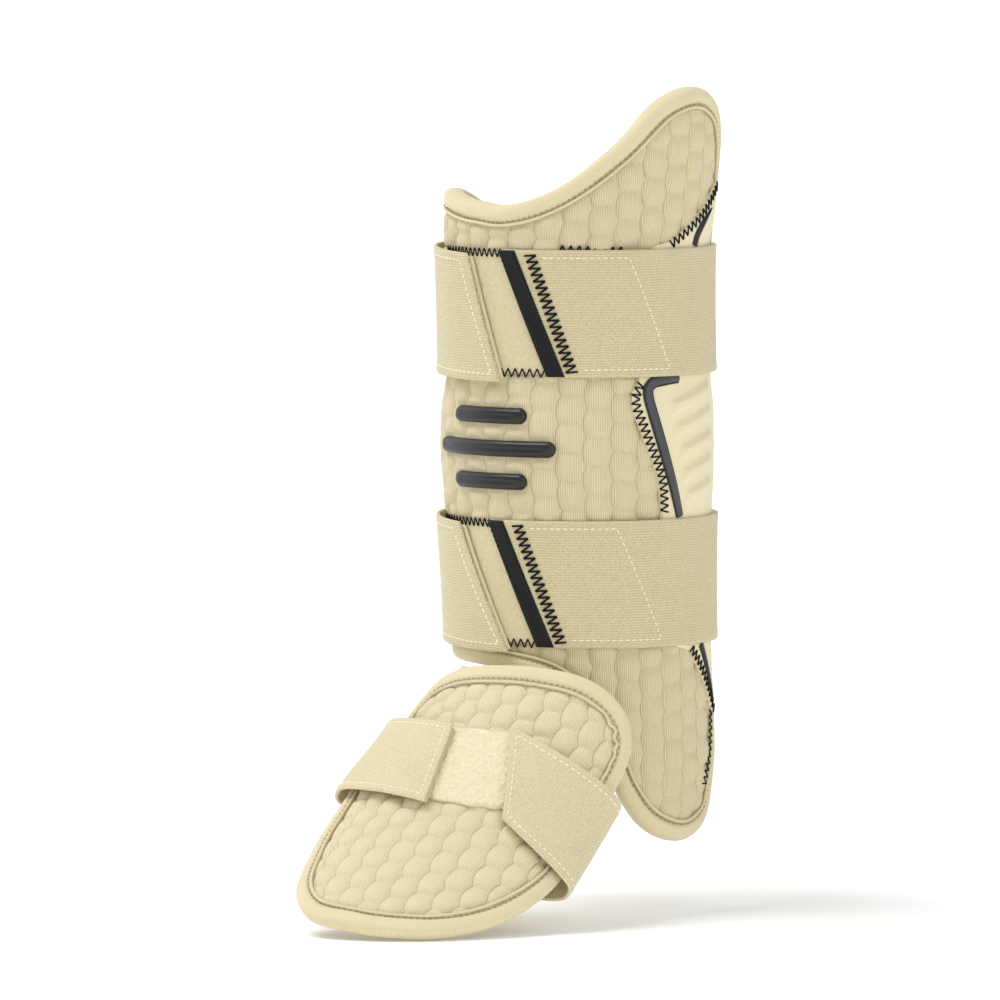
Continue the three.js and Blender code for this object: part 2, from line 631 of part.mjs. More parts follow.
// Raised bars on the front, the middle one longest
BAR_TURNS.forEach((turn, i) => {
  const z = BAR_MIDDLE + (1 - i) * BAR_PITCH;
  const half = roundOf(turn);
  const round = BAR_HEIGHT / 2;
  const corners = [];
  for (const side of [1, -1]) {
    for (let k = 0; k <= 4; k++) {
      const angle = (k / 4 - 0.5) * Math.PI;
      const x = side * (half - round + round * Math.cos(angle));
      corners.push(new THREE.Vector2(x, z + side * round * Math.sin(angle)));
    }
  }
  addPiece(`front_bar_${i + 1}`, sheetOn(onShin, fillLoop(corners, 14, 2), GAP, BAR_THICK), GREY);
});

// Instep flap and its rolled edge
const flapEdge = smoothLoop(
  FLAP_OUTLINE.map((row) => ({ x: row.across * FLAP_HALF, y: row.along * FLAP_LENGTH })),
  76,
);
const flapBody = insetLoop(flapEdge, FLAP_EDGE_WIDTH + SEAM_GAP);
addPiece('instep_guard', sheetOn(onFlap, fillLoop(flapBody, 18, 15), -FLAP_THICK, FLAP_THICK), CLOTH);
const flapEdgeMiddle = insetLoop(flapEdge, FLAP_EDGE_WIDTH / 2);
addPiece(
  'instep_binding',
  beadOn(onFlap, flapEdgeMiddle, true, FLAP_EDGE_WIDTH, -FLAP_THICK - EDGE_PROUD, EDGE_PROUD),
  EDGE,
);

// Rounded loop field on the flap
const patchLoop = [];
for (let i = 0; i < 24; i++) {
  const angle = (2 * Math.PI * i) / 24;
  const across = FOOT_PATCH.across + FOOT_PATCH.halfAcross * Math.cos(angle);
  const squared = Math.sign(Math.sin(angle)) * Math.abs(Math.sin(angle)) ** 0.7;
  const along = FOOT_PATCH.along + FOOT_PATCH.halfAlong * squared;
  patchLoop.push(new THREE.Vector2(across * FLAP_HALF, along * FLAP_LENGTH));
}
addPiece('instep_patch', sheetOn(onFlap, fillLoop(patchLoop, 10, 4), FOOT_GAP, FOOT_PATCH_THICK), LOOP);

// Foot strap, and the hook tape under its two ends
const strapHalf = FOOT_STRAP_WIDTH / 2;
const strapRows = 3;
const strapLines = [];
for (let j = 0; j <= strapRows; j++) {
  const share = j / strapRows;
  const stations = FOOT_STRAP.map((row) => {
    const across = THREE.MathUtils.lerp(row.back, row.front, share) * FLAP_HALF;
    const down = row.along * FLAP_LENGTH + (2 * share - 1) * strapHalf;
    return onFlap(across, down, row.lift);
  });
  strapLines.push(smoothLine(stations, 46));
}
const strapInner = strapLines[0].map((_, i) => strapLines.map((line) => line[i]));
const strapOuter = strapInner.map((column, i) => column.map((p, j) => {
  const before = strapInner[Math.max(i - 1, 0)][j];
  const after = strapInner[Math.min(i + 1, strapInner.length - 1)][j];
  const run = after.clone().sub(before);
  const width = column[strapRows].clone().sub(column[0]);
  return new THREE.Vector3().crossVectors(width, run).setLength(FOOT_STRAP_THICK).add(p);
}));
addPiece('foot_strap', slab(strapOuter, strapInner), ELASTIC);

for (const [name, from, to] of [
  ['outer_foot_tab', FOOT_STRAP[0], FOOT_STRAP[2]],
  ['inner_foot_tab', FOOT_STRAP[15], FOOT_STRAP[13]],
]) {
  const grid = [];
  for (let i = 0; i <= 6; i++) {
    const share = i / 6;
    const column = [];
    for (let j = 0; j <= 6; j++) {
      const back = THREE.MathUtils.lerp(from.back, to.back, share);
      const front = THREE.MathUtils.lerp(from.front, to.front, share);
      const along = THREE.MathUtils.lerp(from.along, to.along, share) * FLAP_LENGTH;
      const across = THREE.MathUtils.lerp(back, front, j / 6) * FLAP_HALF;
      const side = THREE.MathUtils.lerp(-0.94, 0.94, j / 6) * strapHalf;
      column.push(new THREE.Vector2(across, along + side));
    }
    grid.push(column);
  }
  addPiece(name, sheetOn(onFlap, grid, 2 * FOOT_GAP + FOOT_PATCH_THICK, FOOT_TAB_THICK), LOOP);
}

// Plain web behind the flap's upper edge, which hangs the flap on the shell
const webGrid = [];
const webTop = FLAP_UPPER_Z - WEB_DROP;
for (let i = 0; i <= 10; i++) {
  const round = roundOf(THREE.MathUtils.lerp(...WEB_TURNS, i / 10));
  webGrid.push([new THREE.Vector2(round, webTop - WEB_HEIGHT), new THREE.Vector2(round, webTop)]);
}
addPiece('ankle_web', sheetOn(onShin, webGrid, EDGE_PROUD + GAP, WEB_THICK), CLOTH);

export default legGuard;
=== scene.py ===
import math

import bpy
import numpy as np
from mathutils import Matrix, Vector


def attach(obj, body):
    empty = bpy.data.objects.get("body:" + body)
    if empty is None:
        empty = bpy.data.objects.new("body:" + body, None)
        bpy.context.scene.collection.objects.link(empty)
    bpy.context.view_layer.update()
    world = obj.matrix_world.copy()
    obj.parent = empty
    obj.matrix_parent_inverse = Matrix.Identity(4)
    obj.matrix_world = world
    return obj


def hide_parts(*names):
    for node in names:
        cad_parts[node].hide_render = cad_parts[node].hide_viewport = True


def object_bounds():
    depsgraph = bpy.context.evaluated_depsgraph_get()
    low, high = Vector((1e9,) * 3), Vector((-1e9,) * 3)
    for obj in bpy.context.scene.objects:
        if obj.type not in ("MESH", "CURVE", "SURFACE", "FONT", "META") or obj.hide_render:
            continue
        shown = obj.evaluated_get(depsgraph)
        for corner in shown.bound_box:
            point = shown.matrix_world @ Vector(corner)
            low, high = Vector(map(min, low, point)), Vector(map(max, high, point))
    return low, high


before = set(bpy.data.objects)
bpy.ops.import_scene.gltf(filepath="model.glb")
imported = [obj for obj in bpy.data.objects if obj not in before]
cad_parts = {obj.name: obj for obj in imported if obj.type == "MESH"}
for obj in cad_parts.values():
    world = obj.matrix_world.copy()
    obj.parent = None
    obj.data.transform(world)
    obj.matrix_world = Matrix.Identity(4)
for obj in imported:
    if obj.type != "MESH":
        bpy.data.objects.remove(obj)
cad_low, cad_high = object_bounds()

MM = 0.001
TURN = 2 * math.pi

# Shin shell
SHELL_RADIUS = 66.0
SHELL_TOP = 177.0
SHELL_BOTTOM = -190.5
SHELL_HEIGHT = SHELL_TOP - SHELL_BOTTOM
SHELL_THICK = 9.0
EDGE_WIDTH = 9.6
EDGE_PROUD = 0.8
SEAM_INSET = 1.3
GROOVE_DEPTH = 0.4
SECTION_BEND = 0.014

# Radius and sideways shift, as shares of the shell's radius, by share of its height.
SECTION_UP = [0.0, 0.11, 0.19, 0.2517, 0.4314, 0.475, 0.527, 0.573, 0.619, 0.79, 0.823, 0.93, 1.0]
SECTION_RADIUS = [0.955, 0.98, 0.965, 0.947, 0.975, 1.0, 1.008, 1.0, 0.967, 0.975, 0.995, 1.015, 1.02]
SECTION_SHIFT = [0.041, 0.055, 0.055, 0.05, 0.015, 0.005, 0.0, 0.004, 0.012, -0.005, 0.02, 0.072, 0.075]

# Outer edge of the shell: turn, share of the height.
SHELL_OUTLINE = [
    (-100, 0.808), (-83, 0.841), (-55, 0.861), (-9, 0.849), (8, 0.846), (30, 0.867), (54, 0.922), (75, 0.982),
    (92, 1.0), (104, 0.997), (120, 0.968), (129, 0.912), (132, 0.8), (132, 0.5), (132, 0.246), (128, 0.125),
    (118, 0.03), (104, 0.004), (89, 0.0), (71.7, 0.0207), (59, 0.0645), (46, 0.148), (30, 0.208), (0, 0.23),
    (-45, 0.236), (-86, 0.244), (-102, 0.3), (-106, 0.42), (-106, 0.68),
]

# Front edge of the side panel from its upper point down: turn, share of the height.
PANEL_EDGE = [
    (119, 0.872), (100, 0.827), (84, 0.797), (75.7, 0.787), (68, 0.613), (64.8, 0.592), (70.3, 0.54),
    (78, 0.48), (79.5, 0.434), (86.5, 0.264), (96.8, 0.251), (109, 0.208), (118.5, 0.165),
]

# Cord along that edge, in three stretches: turn, share of the height, share of its full width.
UPPER_PIPING = [(101.6, 0.7895, 0.8), (103.4, 0.806, 0.8), (107.5, 0.822, 0.6), (114, 0.838, 0.12)]
SIDE_PIPING = [
    (89, 0.6165, 1.0), (82, 0.6145, 1.0), (75.2, 0.6105, 1.0), (73.0, 0.6035, 1.0), (72.9, 0.592, 1.0),
    (74.4, 0.574, 1.0), (81, 0.512, 0.95), (89.8, 0.4325, 0.85),
]
LOWER_PIPING = [(106.2, 0.2595, 0.75), (111, 0.232, 0.6), (118.5, 0.18, 0.15)]

# Zigzag seam on the ankle lobe: turn, share of the height.
LOBE_SEAM = [(118.2, 0.168), (116.2, 0.135), (113.0, 0.1), (109.0, 0.07)]
PANEL_LIFT = 0.4
PANEL_THICK = 1.1
PANEL_SUNK = 0.9
PANEL_ROUNDING = 1.6
CORD_HALF = 2.2

# Slanted ribs of the side panel. The lowest starts farthest back, and each next one a step farther forward.
RIB_COUNT = 5
RIB_LOWEST = -23.0
RIB_PITCH = 11.0
RIB_STEP = 2.6
RIB_SLOPE = 0.275
RIB_HALF = 3.0
RIB_HEIGHT = 2.4
RIB_FIRST_TURN = 84
RIB_FADE_TURNS = (108, 117)

# Raised bars on the shin: half length as a turn, and height of the middle.
BARS = [(20, 18.0), (33, 2.0), (20, -14.0)]
BAR_HALF = 4.0
BAR_RISE = 3.1
BAR_SUNK = 0.6
BAR_PRESS = 3.5

# Quilting: width of a channel, length of a cell, bulge of its scallops, depth of its ends, slant and seed.
SHELL_QUILT = {"pitch": 13.5, "cell": 14.0, "sway": 2.1, "pinch": 0.7, "slant": 0.0, "seed": 1.0}
FLAP_QUILT = {"pitch": 10.9, "cell": 13.6, "sway": 2.3, "pinch": 0.8, "slant": 0.06, "seed": 4.0}
SCALLOP_BEND = 0.7
SHELL_PUFF = 2.3
FLAP_PUFF = 2.2
SEAM_SUNK = 1.5
EDGE_DIP = 0.7

# Waves that keep the quilting's seams from running straight: their lengths, and how far they move a seam.
SLOW_WAVE = 31.0
SLOW_SWAY = 0.7
QUICK_WAVE_DOWN = 13.0
QUICK_WAVE_ACROSS = 23.0
QUICK_SWAY = 0.5
DRIFT_WAVE = 17.0
DRIFT = 1.2

# Creases of the quilting: depth, half width, half width of their flanks, share of the painted shade in them,
# and that shade's tint.
CREASE_DEPTH = 0.3
CREASE_HALF = 0.5
FLANK_HALF = 2.2
CREASE_SHADE_SHARE = 0.45
CREASE_SHADE_TINT = "C9BC96"

# Shin straps. A strap lies higher off the shell where it crosses the side panel and where its free end covers
# the hook tape, and it sags a little on its way to that end.
STRAP_WIDTH = 62.0
STRAP_THICK = 1.7
STRAP_LENGTH = 340.0
BAND_ROWS = 30
STRAP_SAG = 2.6
SAG_TURNS = (290, 365)
LIFT_TURNS = [0, 56, 64, 136, 150, 290, 304, 372]
LIFT_HEIGHTS = [0.5, 0.5, 2.2, 2.2, 2.3, 2.4, 3.65, 3.65]

# For each strap: height of its middle, turns of its sewn end, free end and stitched box at its lower and upper
# edge, and seed of its loose threads.
UPPER = {"middle": 68.0, "sewn": (28.8, 7.2), "free": (368.1, 351.1), "box": (83.0, 64.0), "seed": 73}
LOWER = {"middle": -63.5, "sewn": (22.4, 0.6), "free": (369.3, 344.4), "box": (77.5, 58.0), "seed": 68}
STRAPS = {"upper": UPPER, "lower": LOWER}
BOTH_EDGES = (0.0, 1.0)
STITCH_INSET = 3.9
FREE_INSET = 4.2
FREE_ROW_TURN = 286
ZIGZAG_PAST = (12.5, 17.0)
LABEL_WIDTH = 9.0
TAPE_LENGTH = 40.0
FIELD_TURN = 318
HOOK_TURN = 314
HOOK_LIFT = 2.65

# Instep flap
FOOT_YAW = math.radians(15)
FLAP_FORWARD = 77.6
FLAP_UPPER_Z = -101.4
FLAP_LENGTH = 166.5
FLAP_HALF = 72.0
FLAP_THICK = 7.5
FLAP_EDGE_WIDTH = 9.5
FLAP_BEND = 0.04
FLAP_ALONG = [0.0, 0.147, 0.381, 0.616, 0.85, 1.0]
FLAP_SLOPE = [61, 55, 47, 43, 41, 40]
FLAP_WIDE = [1.0, 0.986, 0.986, 0.972, 0.958, 0.965]
FLAP_DEEP = [0.944, 0.806, 0.694, 0.611, 0.569, 0.563]
FLAP_OFFSET = [0.083, 0.069, 0.028, 0.0, -0.042, -0.049]
FLAP_ROLL = [1, 6, 14, 18, 19, 19.6]

# Outer edge of the flap: share of its half width across, share of its length down.
FLAP_OUTLINE = [
    (-0.11, 0.0), (0.208, 0.0), (0.5, 0.006), (0.722, 0.035), (0.882, 0.082), (0.972, 0.158), (0.951, 0.311),
    (0.896, 0.499), (0.84, 0.622), (0.694, 0.762), (0.514, 0.862), (0.264, 0.944), (-0.042, 0.991),
    (-0.278, 1.0), (-0.625, 0.974), (-0.868, 0.862), (-0.972, 0.704), (-1.0, 0.499), (-1.0, 0.235),
    (-0.93, 0.111), (-0.764, 0.029), (-0.528, 0.003),
]

# Foot strap from its outer end under the foot to its inner end: back edge and front edge as shares across the
# flap, middle as a share down it, and clear height over it.
FOOT_STRAP = [
    (0.139, 0.319, 0.366, 4.3), (0.42, 0.5, 0.4, 4.2), (0.7, 0.68, 0.425, 4.0), (0.89, 0.8, 0.438, 3.9),
    (0.985, 0.905, 0.446, 2.6), (1.045, 0.965, 0.45, -4), (0.98, 0.91, 0.446, -17), (0.6, 0.55, 0.42, -33),
    (0.0, 0.0, 0.37, -42), (-0.6, -0.6, 0.32, -34), (-1.02, -1.02, 0.29, -16), (-1.1, -1.1, 0.288, 0.5),
    (-0.94, -0.95, 0.3, 5.0), (-0.68, -0.68, 0.335, 4.4), (-0.45, -0.42, 0.362, 4.5),
    (-0.25, -0.194, 0.378, 4.3),
]
FOOT_STRAP_WIDTH = 50.0
FOOT_STRAP_THICK = 1.8
FOOT_ROW_INSET = 3.6
FOOT_END_INSET = 3.2
FOOT_ROW_REACH = 78.0
FOOT_HOOK_LIFT = 3.0
FOOT_PATCH = {"across": -0.07, "along": 0.358, "half_across": 0.58, "half_along": 0.135}

# Cloth that hangs the flap on the shell: turns of its ends, drops of its edges below the flap's upper edge.
WEB_TURNS = (-18, 30)
WEB_DROPS = (17, 4)
WEB_HALF = 3.1
WEB_LIFT = 4.35


def soft_table(place, knots, values, reach):
    """Value of a table with soft bends at its knots."""
    spread = np.asarray(place, float)[..., None] + np.linspace(-reach, reach, 9)
    return np.interp(spread, knots, values).mean(-1)


def on_shin(around, z, lift):
    """Point at a distance round the leg, a height and a lift off the shell's face."""
    around, z, lift = np.broadcast_arrays(around, z, lift)
    up = (z - SHELL_BOTTOM) / SHELL_HEIGHT
    radius = soft_table(up, SECTION_UP, SECTION_RADIUS, SECTION_BEND) * SHELL_RADIUS + lift
    shift = soft_table(up, SECTION_UP, SECTION_SHIFT, SECTION_BEND) * SHELL_RADIUS
    turn = around / SHELL_RADIUS
    return np.stack([shift + radius * np.sin(turn), -radius * np.cos(turn), z], -1)


def around_at(turn):
    return np.radians(turn) * SHELL_RADIUS


def height_at(up):
    return SHELL_BOTTOM + np.asarray(up) * SHELL_HEIGHT


def shell_places(rows):
    """Flat places in millimetres of rows that start with a turn and a share of the height."""
    return [(around_at(row[0]), height_at(row[1]), *row[2:]) for row in rows]


FORWARD = np.array([math.sin(FOOT_YAW), -math.cos(FOOT_YAW), 0.0])
OUTWARD = np.array([math.cos(FOOT_YAW), math.sin(FOOT_YAW), 0.0])
UPWARD = np.array([0.0, 0.0, 1.0])

# Forward reach and height of the flap's ridge, a millimetre of its length at a time.
ridge_along = (np.arange(math.ceil(FLAP_LENGTH)) + 0.5) / FLAP_LENGTH
ridge_slope = np.radians(np.interp(ridge_along, FLAP_ALONG, FLAP_SLOPE))
ridge_reach = FLAP_FORWARD + np.concatenate([[0], np.cumsum(np.cos(ridge_slope))])
ridge_z = FLAP_UPPER_Z - np.concatenate([[0], np.cumsum(np.sin(ridge_slope))])

# Angle in an oval by its depth over its half width, and by arc length over its half width.
OVAL_RATIOS = np.linspace(0.5, 1.0, 26)
OVAL_ARCS = np.linspace(0.0, 1.9, 191)


def oval_angles():
    angle = np.linspace(0, 2.6, 1301)
    rows = []
    for ratio in OVAL_RATIOS:
        rate = np.hypot(np.cos(angle), ratio * np.sin(angle))
        arc = np.concatenate([[0], np.cumsum((rate[1:] + rate[:-1]) / 2 * (angle[1] - angle[0]))])
        rows.append(np.interp(OVAL_ARCS, arc, angle))
    return np.array(rows)


OVAL_TABLE = oval_angles()


def oval_angle(arc, ratio):
    row = np.clip((ratio - OVAL_RATIOS[0]) / (OVAL_RATIOS[1] - OVAL_RATIOS[0]), 0, len(OVAL_RATIOS) - 1.001)
    column = np.clip(np.abs(arc) / OVAL_ARCS[1], 0, len(OVAL_ARCS) - 1.001)
    i, j = row.astype(int), column.astype(int)
    s, t = row - i, column - j
    low = OVAL_TABLE[i, j] * (1 - t) + OVAL_TABLE[i, j + 1] * t
    high = OVAL_TABLE[i + 1, j] * (1 - t) + OVAL_TABLE[i + 1, j + 1] * t
    return np.sign(arc) * (low * (1 - s) + high * s)


def on_flap(across, down, lift):
    """Point at a distance across the instep flap, a distance down its ridge and a lift off its face."""
    across, down, lift = (np.asarray(x, float) for x in np.broadcast_arrays(across, down, lift))
    along = down / FLAP_LENGTH
    slope = np.radians(soft_table(along, FLAP_ALONG, FLAP_SLOPE, FLAP_BEND))[..., None]
    roll = np.radians(soft_table(along, FLAP_ALONG, FLAP_ROLL, FLAP_BEND))[..., None]
    half = soft_table(along, FLAP_ALONG, FLAP_WIDE, FLAP_BEND) * FLAP_HALF
    deep = soft_table(along, FLAP_ALONG, FLAP_DEEP, FLAP_BEND) * FLAP_HALF
    offset = soft_table(along, FLAP_ALONG, FLAP_OFFSET, FLAP_BEND)[..., None] * FLAP_HALF
    steps = np.arange(len(ridge_z))
    reach = np.interp(down, steps, ridge_reach)[..., None]
    z = np.interp(down, steps, ridge_z)[..., None]
    before = np.minimum(down, 0)[..., None]
    reach = reach + before * math.cos(math.radians(FLAP_SLOPE[0]))
    z = z - before * math.sin(math.radians(FLAP_SLOPE[0]))
    rise = FORWARD * np.sin(slope) + UPWARD * np.cos(slope)
    side = OUTWARD * np.cos(roll) - rise * np.sin(roll)
    out = rise * np.cos(roll) + OUTWARD * np.sin(roll)
    angle = oval_angle(across / half, deep / half)
    facing_side = deep * np.sin(angle)
    facing_out = half * np.cos(angle)
    length = np.hypot(facing_side, facing_out)
    sideways = (half * np.sin(angle) + lift * facing_side / length)[..., None]
    upwards = (-deep * (1 - np.cos(angle)) + lift * facing_out / length)[..., None]
    return FORWARD * reach + UPWARD * z + OUTWARD * offset + side * sideways + out * upwards


def grid_of(first, second):
    """Grid of pairs from two rows of values."""
    return np.stack(np.meshgrid(first, second, indexing="ij"), -1)


def run_along(points):
    """Distance along a line from its first point to each of its points."""
    return np.concatenate([[0], np.cumsum(np.linalg.norm(np.diff(points, axis=0), axis=1))])


def signed_power(x, power):
    return np.sign(x) * np.abs(x) ** power


def smooth_line(knots, count, closed=False):
    """Evenly spaced points on a centripetal curve through the knots."""
    knots = np.asarray(knots, float)
    n = len(knots)
    share = np.linspace(0, 1, 25)[:-1, None]
    dense = []
    for i in range(n if closed else n - 1):
        b, c = knots[i], knots[(i + 1) % n]
        a = knots[i - 1] if closed or i > 0 else 2 * b - c
        d = knots[(i + 2) % n] if closed or i + 2 < n else 2 * c - b
        first, middle, last = (max(np.linalg.norm(q - p), 1e-6) ** 0.5 for p, q in ((a, b), (b, c), (c, d)))
        leave = ((b - a) / first - (c - a) / (first + middle) + (c - b) / middle) * middle
        arrive = ((c - b) / middle - (d - b) / (middle + last) + (d - c) / last) * middle
        cubic = 2 * b - 2 * c + leave + arrive
        square = -3 * b + 3 * c - 2 * leave - arrive
        dense.append(b + leave * share + square * share**2 + cubic * share**3)
    dense.append(knots[:1] if closed else knots[-1:])
    dense = np.concatenate(dense)
    return spaced(dense, count, closed)


def spaced(points, count, closed=False):
    """A line's points, moved to even spacing."""
    lengths = run_along(points)
    wanted = np.linspace(0, lengths[-1], count + 1)
    moved = np.stack([np.interp(wanted, lengths, points[:, k]) for k in range(points.shape[1])], -1)
    return moved[:-1] if closed else moved


def line_length(points):
    return float(run_along(points)[-1])


def anticlockwise(loop):
    x, y = loop[:, 0], loop[:, 1]
    area = np.sum(x * np.roll(y, -1) - y * np.roll(x, -1))
    return loop if area > 0 else loop[::-1]


def left_normals(line, closed=False):
    """Unit normals to the left of a flat line."""
    if closed:
        run = np.roll(line, -1, 0) - np.roll(line, 1, 0)
    else:
        run = np.gradient(line, axis=0)
    normal = np.stack([-run[:, 1], run[:, 0]], -1)
    return normal / np.linalg.norm(normal, axis=1, keepdims=True)


def filled(loop, columns, rows, margin=0.3):
    """Grid of flat points that fills a loop."""
    low_x, high_x = loop[:, 0].min() + margin, loop[:, 0].max() - margin
    ends = np.roll(loop, -1, 0)
    grid = np.zeros((columns, rows, 2))
    for i, x in enumerate(np.linspace(low_x, high_x, columns)):
        crossing = (loop[:, 0] <= x) != (ends[:, 0] <= x)
        p, q = loop[crossing], ends[crossing]
        hits = p[:, 1] + (x - p[:, 0]) / (q[:, 0] - p[:, 0]) * (q[:, 1] - p[:, 1])
        grid[i, :, 0] = x
        grid[i, :, 1] = np.linspace(hits.min(), hits.max(), rows)
    return grid


def distance_to(loop, grid):
    """Distance from each point of a grid to the nearest point of a loop."""
    return np.array([np.sqrt(((column[:, None] - loop[None]) ** 2).sum(-1)).min(1) for column in grid])


def bump_at(x, middle, width):
    return np.exp(-(((x - middle) / width) ** 2))


def ease(x, start, end):
    t = np.clip((np.asarray(x, float) - start) / (end - start), 0, 1)
    return t * t * (3 - 2 * t)


class Piece:
    """Mesh of one piece in millimetres: points, four-sided faces, and each corner's place on the cloth."""

    def __init__(self):
        self.points = []
        self.faces = []
        self.places = []
        self.finishes = []
        self.count = 0

    def put(self, points):
        flat = points.reshape(-1, 3)
        index = np.arange(self.count, self.count + len(flat)).reshape(points.shape[:-1])
        self.points.append(flat)
        self.count += len(flat)
        return index

    def skin(self, index, places, finish=0, turned=False):
        def corners(grid):
            four = [grid[:-1, :-1], grid[1:, :-1], grid[1:, 1:], grid[:-1, 1:]]
            return np.stack(four[::-1] if turned else four, 2)

        faces = corners(index).reshape(-1, 4)
        self.faces.append(faces)
        self.places.append(corners(places).reshape(-1, 4, 2))
        self.finishes.append(np.full(len(faces), finish))

    def sheet(self, surface, grid, top, bottom, finish=0, lining=None):
        """Closed sheet over a grid, whose upper and lower faces meet all round its border."""
        upper = self.put(surface(grid[..., 0], grid[..., 1], top))
        lower = upper.copy()
        inner = grid[1:-1, 1:-1]
        lower[1:-1, 1:-1] = self.put(surface(inner[..., 0], inner[..., 1], bottom[1:-1, 1:-1]))
        self.skin(upper, grid, finish)
        self.skin(lower, grid, finish if lining is None else lining, turned=True)

    def tubes(self, rings, places, finish=0, closed=False):
        """Tubes from an array of tube, ring, point and coordinate. Open ones get a cap at each end."""
        index = self.put(rings)
        for tube, place in zip(index, places):
            if closed:
                tube = np.vstack([tube, tube[:1]])
            else:
                for end in (tube[0], tube[-1][::-1]):
                    self.faces.append(self.cap(end))
                    self.places.append(np.zeros((len(self.faces[-1]), 4, 2)) + place[0, 0])
                    self.finishes.append(np.full(len(self.faces[-1]), finish))
            tube = np.hstack([tube, tube[:, :1]])
            self.skin(tube, place, finish, turned=True)

    @staticmethod
    def cap(ring):
        """Four-sided faces over an even ring."""
        half = len(ring) // 2
        return np.array([[ring[k], ring[k + 1], ring[-2 - k], ring[-1 - k]] for k in range(half - 1)])

    def object(self, name, node, materials):
        mesh = bpy.data.meshes.new(name)
        faces = np.concatenate(self.faces)
        mesh.from_pydata((np.concatenate(self.points) * MM).tolist(), [], faces.tolist())
        layer = mesh.uv_layers.new(name="cloth")
        layer.data.foreach_set("uv", np.concatenate(self.places).astype(np.float32).ravel())
        mesh.polygons.foreach_set("material_index", np.concatenate(self.finishes).astype(np.int32))
        mesh.polygons.foreach_set("use_smooth", np.ones(len(faces), bool))
        for material in materials:
            mesh.materials.append(material)
        mesh.update()
        made = bpy.data.objects.new(name, mesh)
        bpy.context.scene.collection.objects.link(made)
        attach(made, "root")
        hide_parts(node)
        return made


def frames_on(surface, line, lift):
    """Places, sideways and outward directions along flat lines on a surface."""
    a, b = line[..., 0], line[..., 1]
    places = surface(a, b, lift)
    out = surface(a, b, np.asarray(lift) + 1.0) - places
    out /= np.linalg.norm(out, axis=-1, keepdims=True)
    run = np.gradient(places, axis=-2)
    run /= np.maximum(np.linalg.norm(run, axis=-1, keepdims=True), 1e-9)
    side = np.cross(run, out)
    return places, side, out


def rings_of(places, side, out, wide, tall, sides):
    """Rings of points round the places of a line, with half widths sideways and outwards."""
    angle = TURN * (np.arange(sides) + 0.5) / sides
    across = side[..., None, :] * np.cos(angle)[:, None] * np.asarray(wide)[..., None, None]
    upward = out[..., None, :] * np.sin(angle)[:, None] * np.asarray(tall)[..., None, None]
    return places[..., None, :] + across + upward


def cord_on(piece, surface, line, lift, wide, tall=None, sides=8, finish=0):
    """Cord along a flat line on a surface. Its half width may change along the line."""
    places, side, out = frames_on(surface, line, lift)
    rings = rings_of(places, side, out, wide, wide if tall is None else tall, sides)
    place = grid_of(run_along(places), np.linspace(0, 6, sides + 1))
    piece.tubes(rings[None], place[None], finish)


def stitches_on(piece, surface, line, lift, pitch=3.3, length=2.3, radius=0.3, finish=0):
    """Row of separate stitches along a flat line on a surface."""
    count = max(int(line_length(line) / pitch), 1)
    stations = spaced(line, count * 8)
    middles = stations[4::8][:count]
    runs = stations[5::8][:count] - stations[3::8][:count]
    runs /= np.linalg.norm(runs, axis=1, keepdims=True)
    reach = np.array([-0.5, -0.36, 0.0, 0.36, 0.5]) * length
    lines = middles[:, None] + runs[:, None] * reach[:, None]
    dip = np.array([-0.28, -0.02, 0.08, -0.02, -0.28])
    places, side, out = frames_on(surface, lines, lift + dip)
    thick = radius * np.array([0.45, 0.95, 1.0, 0.95, 0.45])
    rings = rings_of(places, side, out, thick, thick, 6)
    place = grid_of(reach, np.linspace(0, 2, 7))
    piece.tubes(rings, np.repeat(place[None], count, 0), finish)


def fringe_on(piece, surface, line, lift, reach, seed, finish=0):
    """Short loose threads that stand out to the right of a cut edge."""
    luck = np.random.default_rng(seed)
    roots = spaced(line, int(line_length(line) / 0.4))
    aim = luck.normal(0, 0.4, roots.shape) - left_normals(roots)
    share = np.linspace(0, 1, 4)
    lengths = luck.uniform(0.3, 1.0, len(roots)) * reach
    lines = roots[:, None] + aim[:, None] * share[:, None] * lengths[:, None, None]
    places, side, out = frames_on(surface, lines, lift + 0.35 * share)
    thick = 0.13 - 0.05 * share
    rings = rings_of(places, side, out, thick, thick, 4)
    place = grid_of(share, np.linspace(0, 1, 5))
    piece.tubes(rings, np.repeat(place[None], len(roots), 0), finish)


def zigzag_line(line, pitch, width):
    """Zigzag about a flat line, with rounded turns."""
    count = max(int(line_length(line) / (pitch / 2)), 2)
    middle = spaced(line, count)
    side = left_normals(middle) * np.where(np.arange(count + 1) % 2, 0.5, -0.5)[:, None] * width
    corners = middle + side
    share = np.array([0.06, 0.3, 0.7, 0.94])[:, None]
    legs = [a + (b - a) * share for a, b in zip(corners[:-1], corners[1:])]
    return np.concatenate(legs)


def zigzag_on(piece, surface, line, lift, pitch, width, radius, finish=0):
    cord_on(piece, surface, zigzag_line(line, pitch, width), lift, radius, sides=6, finish=finish)


def straight(start, end, count=24):
    share = np.linspace(0, 1, count + 1)[:, None]
    return np.array(start, float) * (1 - share) + np.array(end, float) * share


# Shader groups that the cloths share


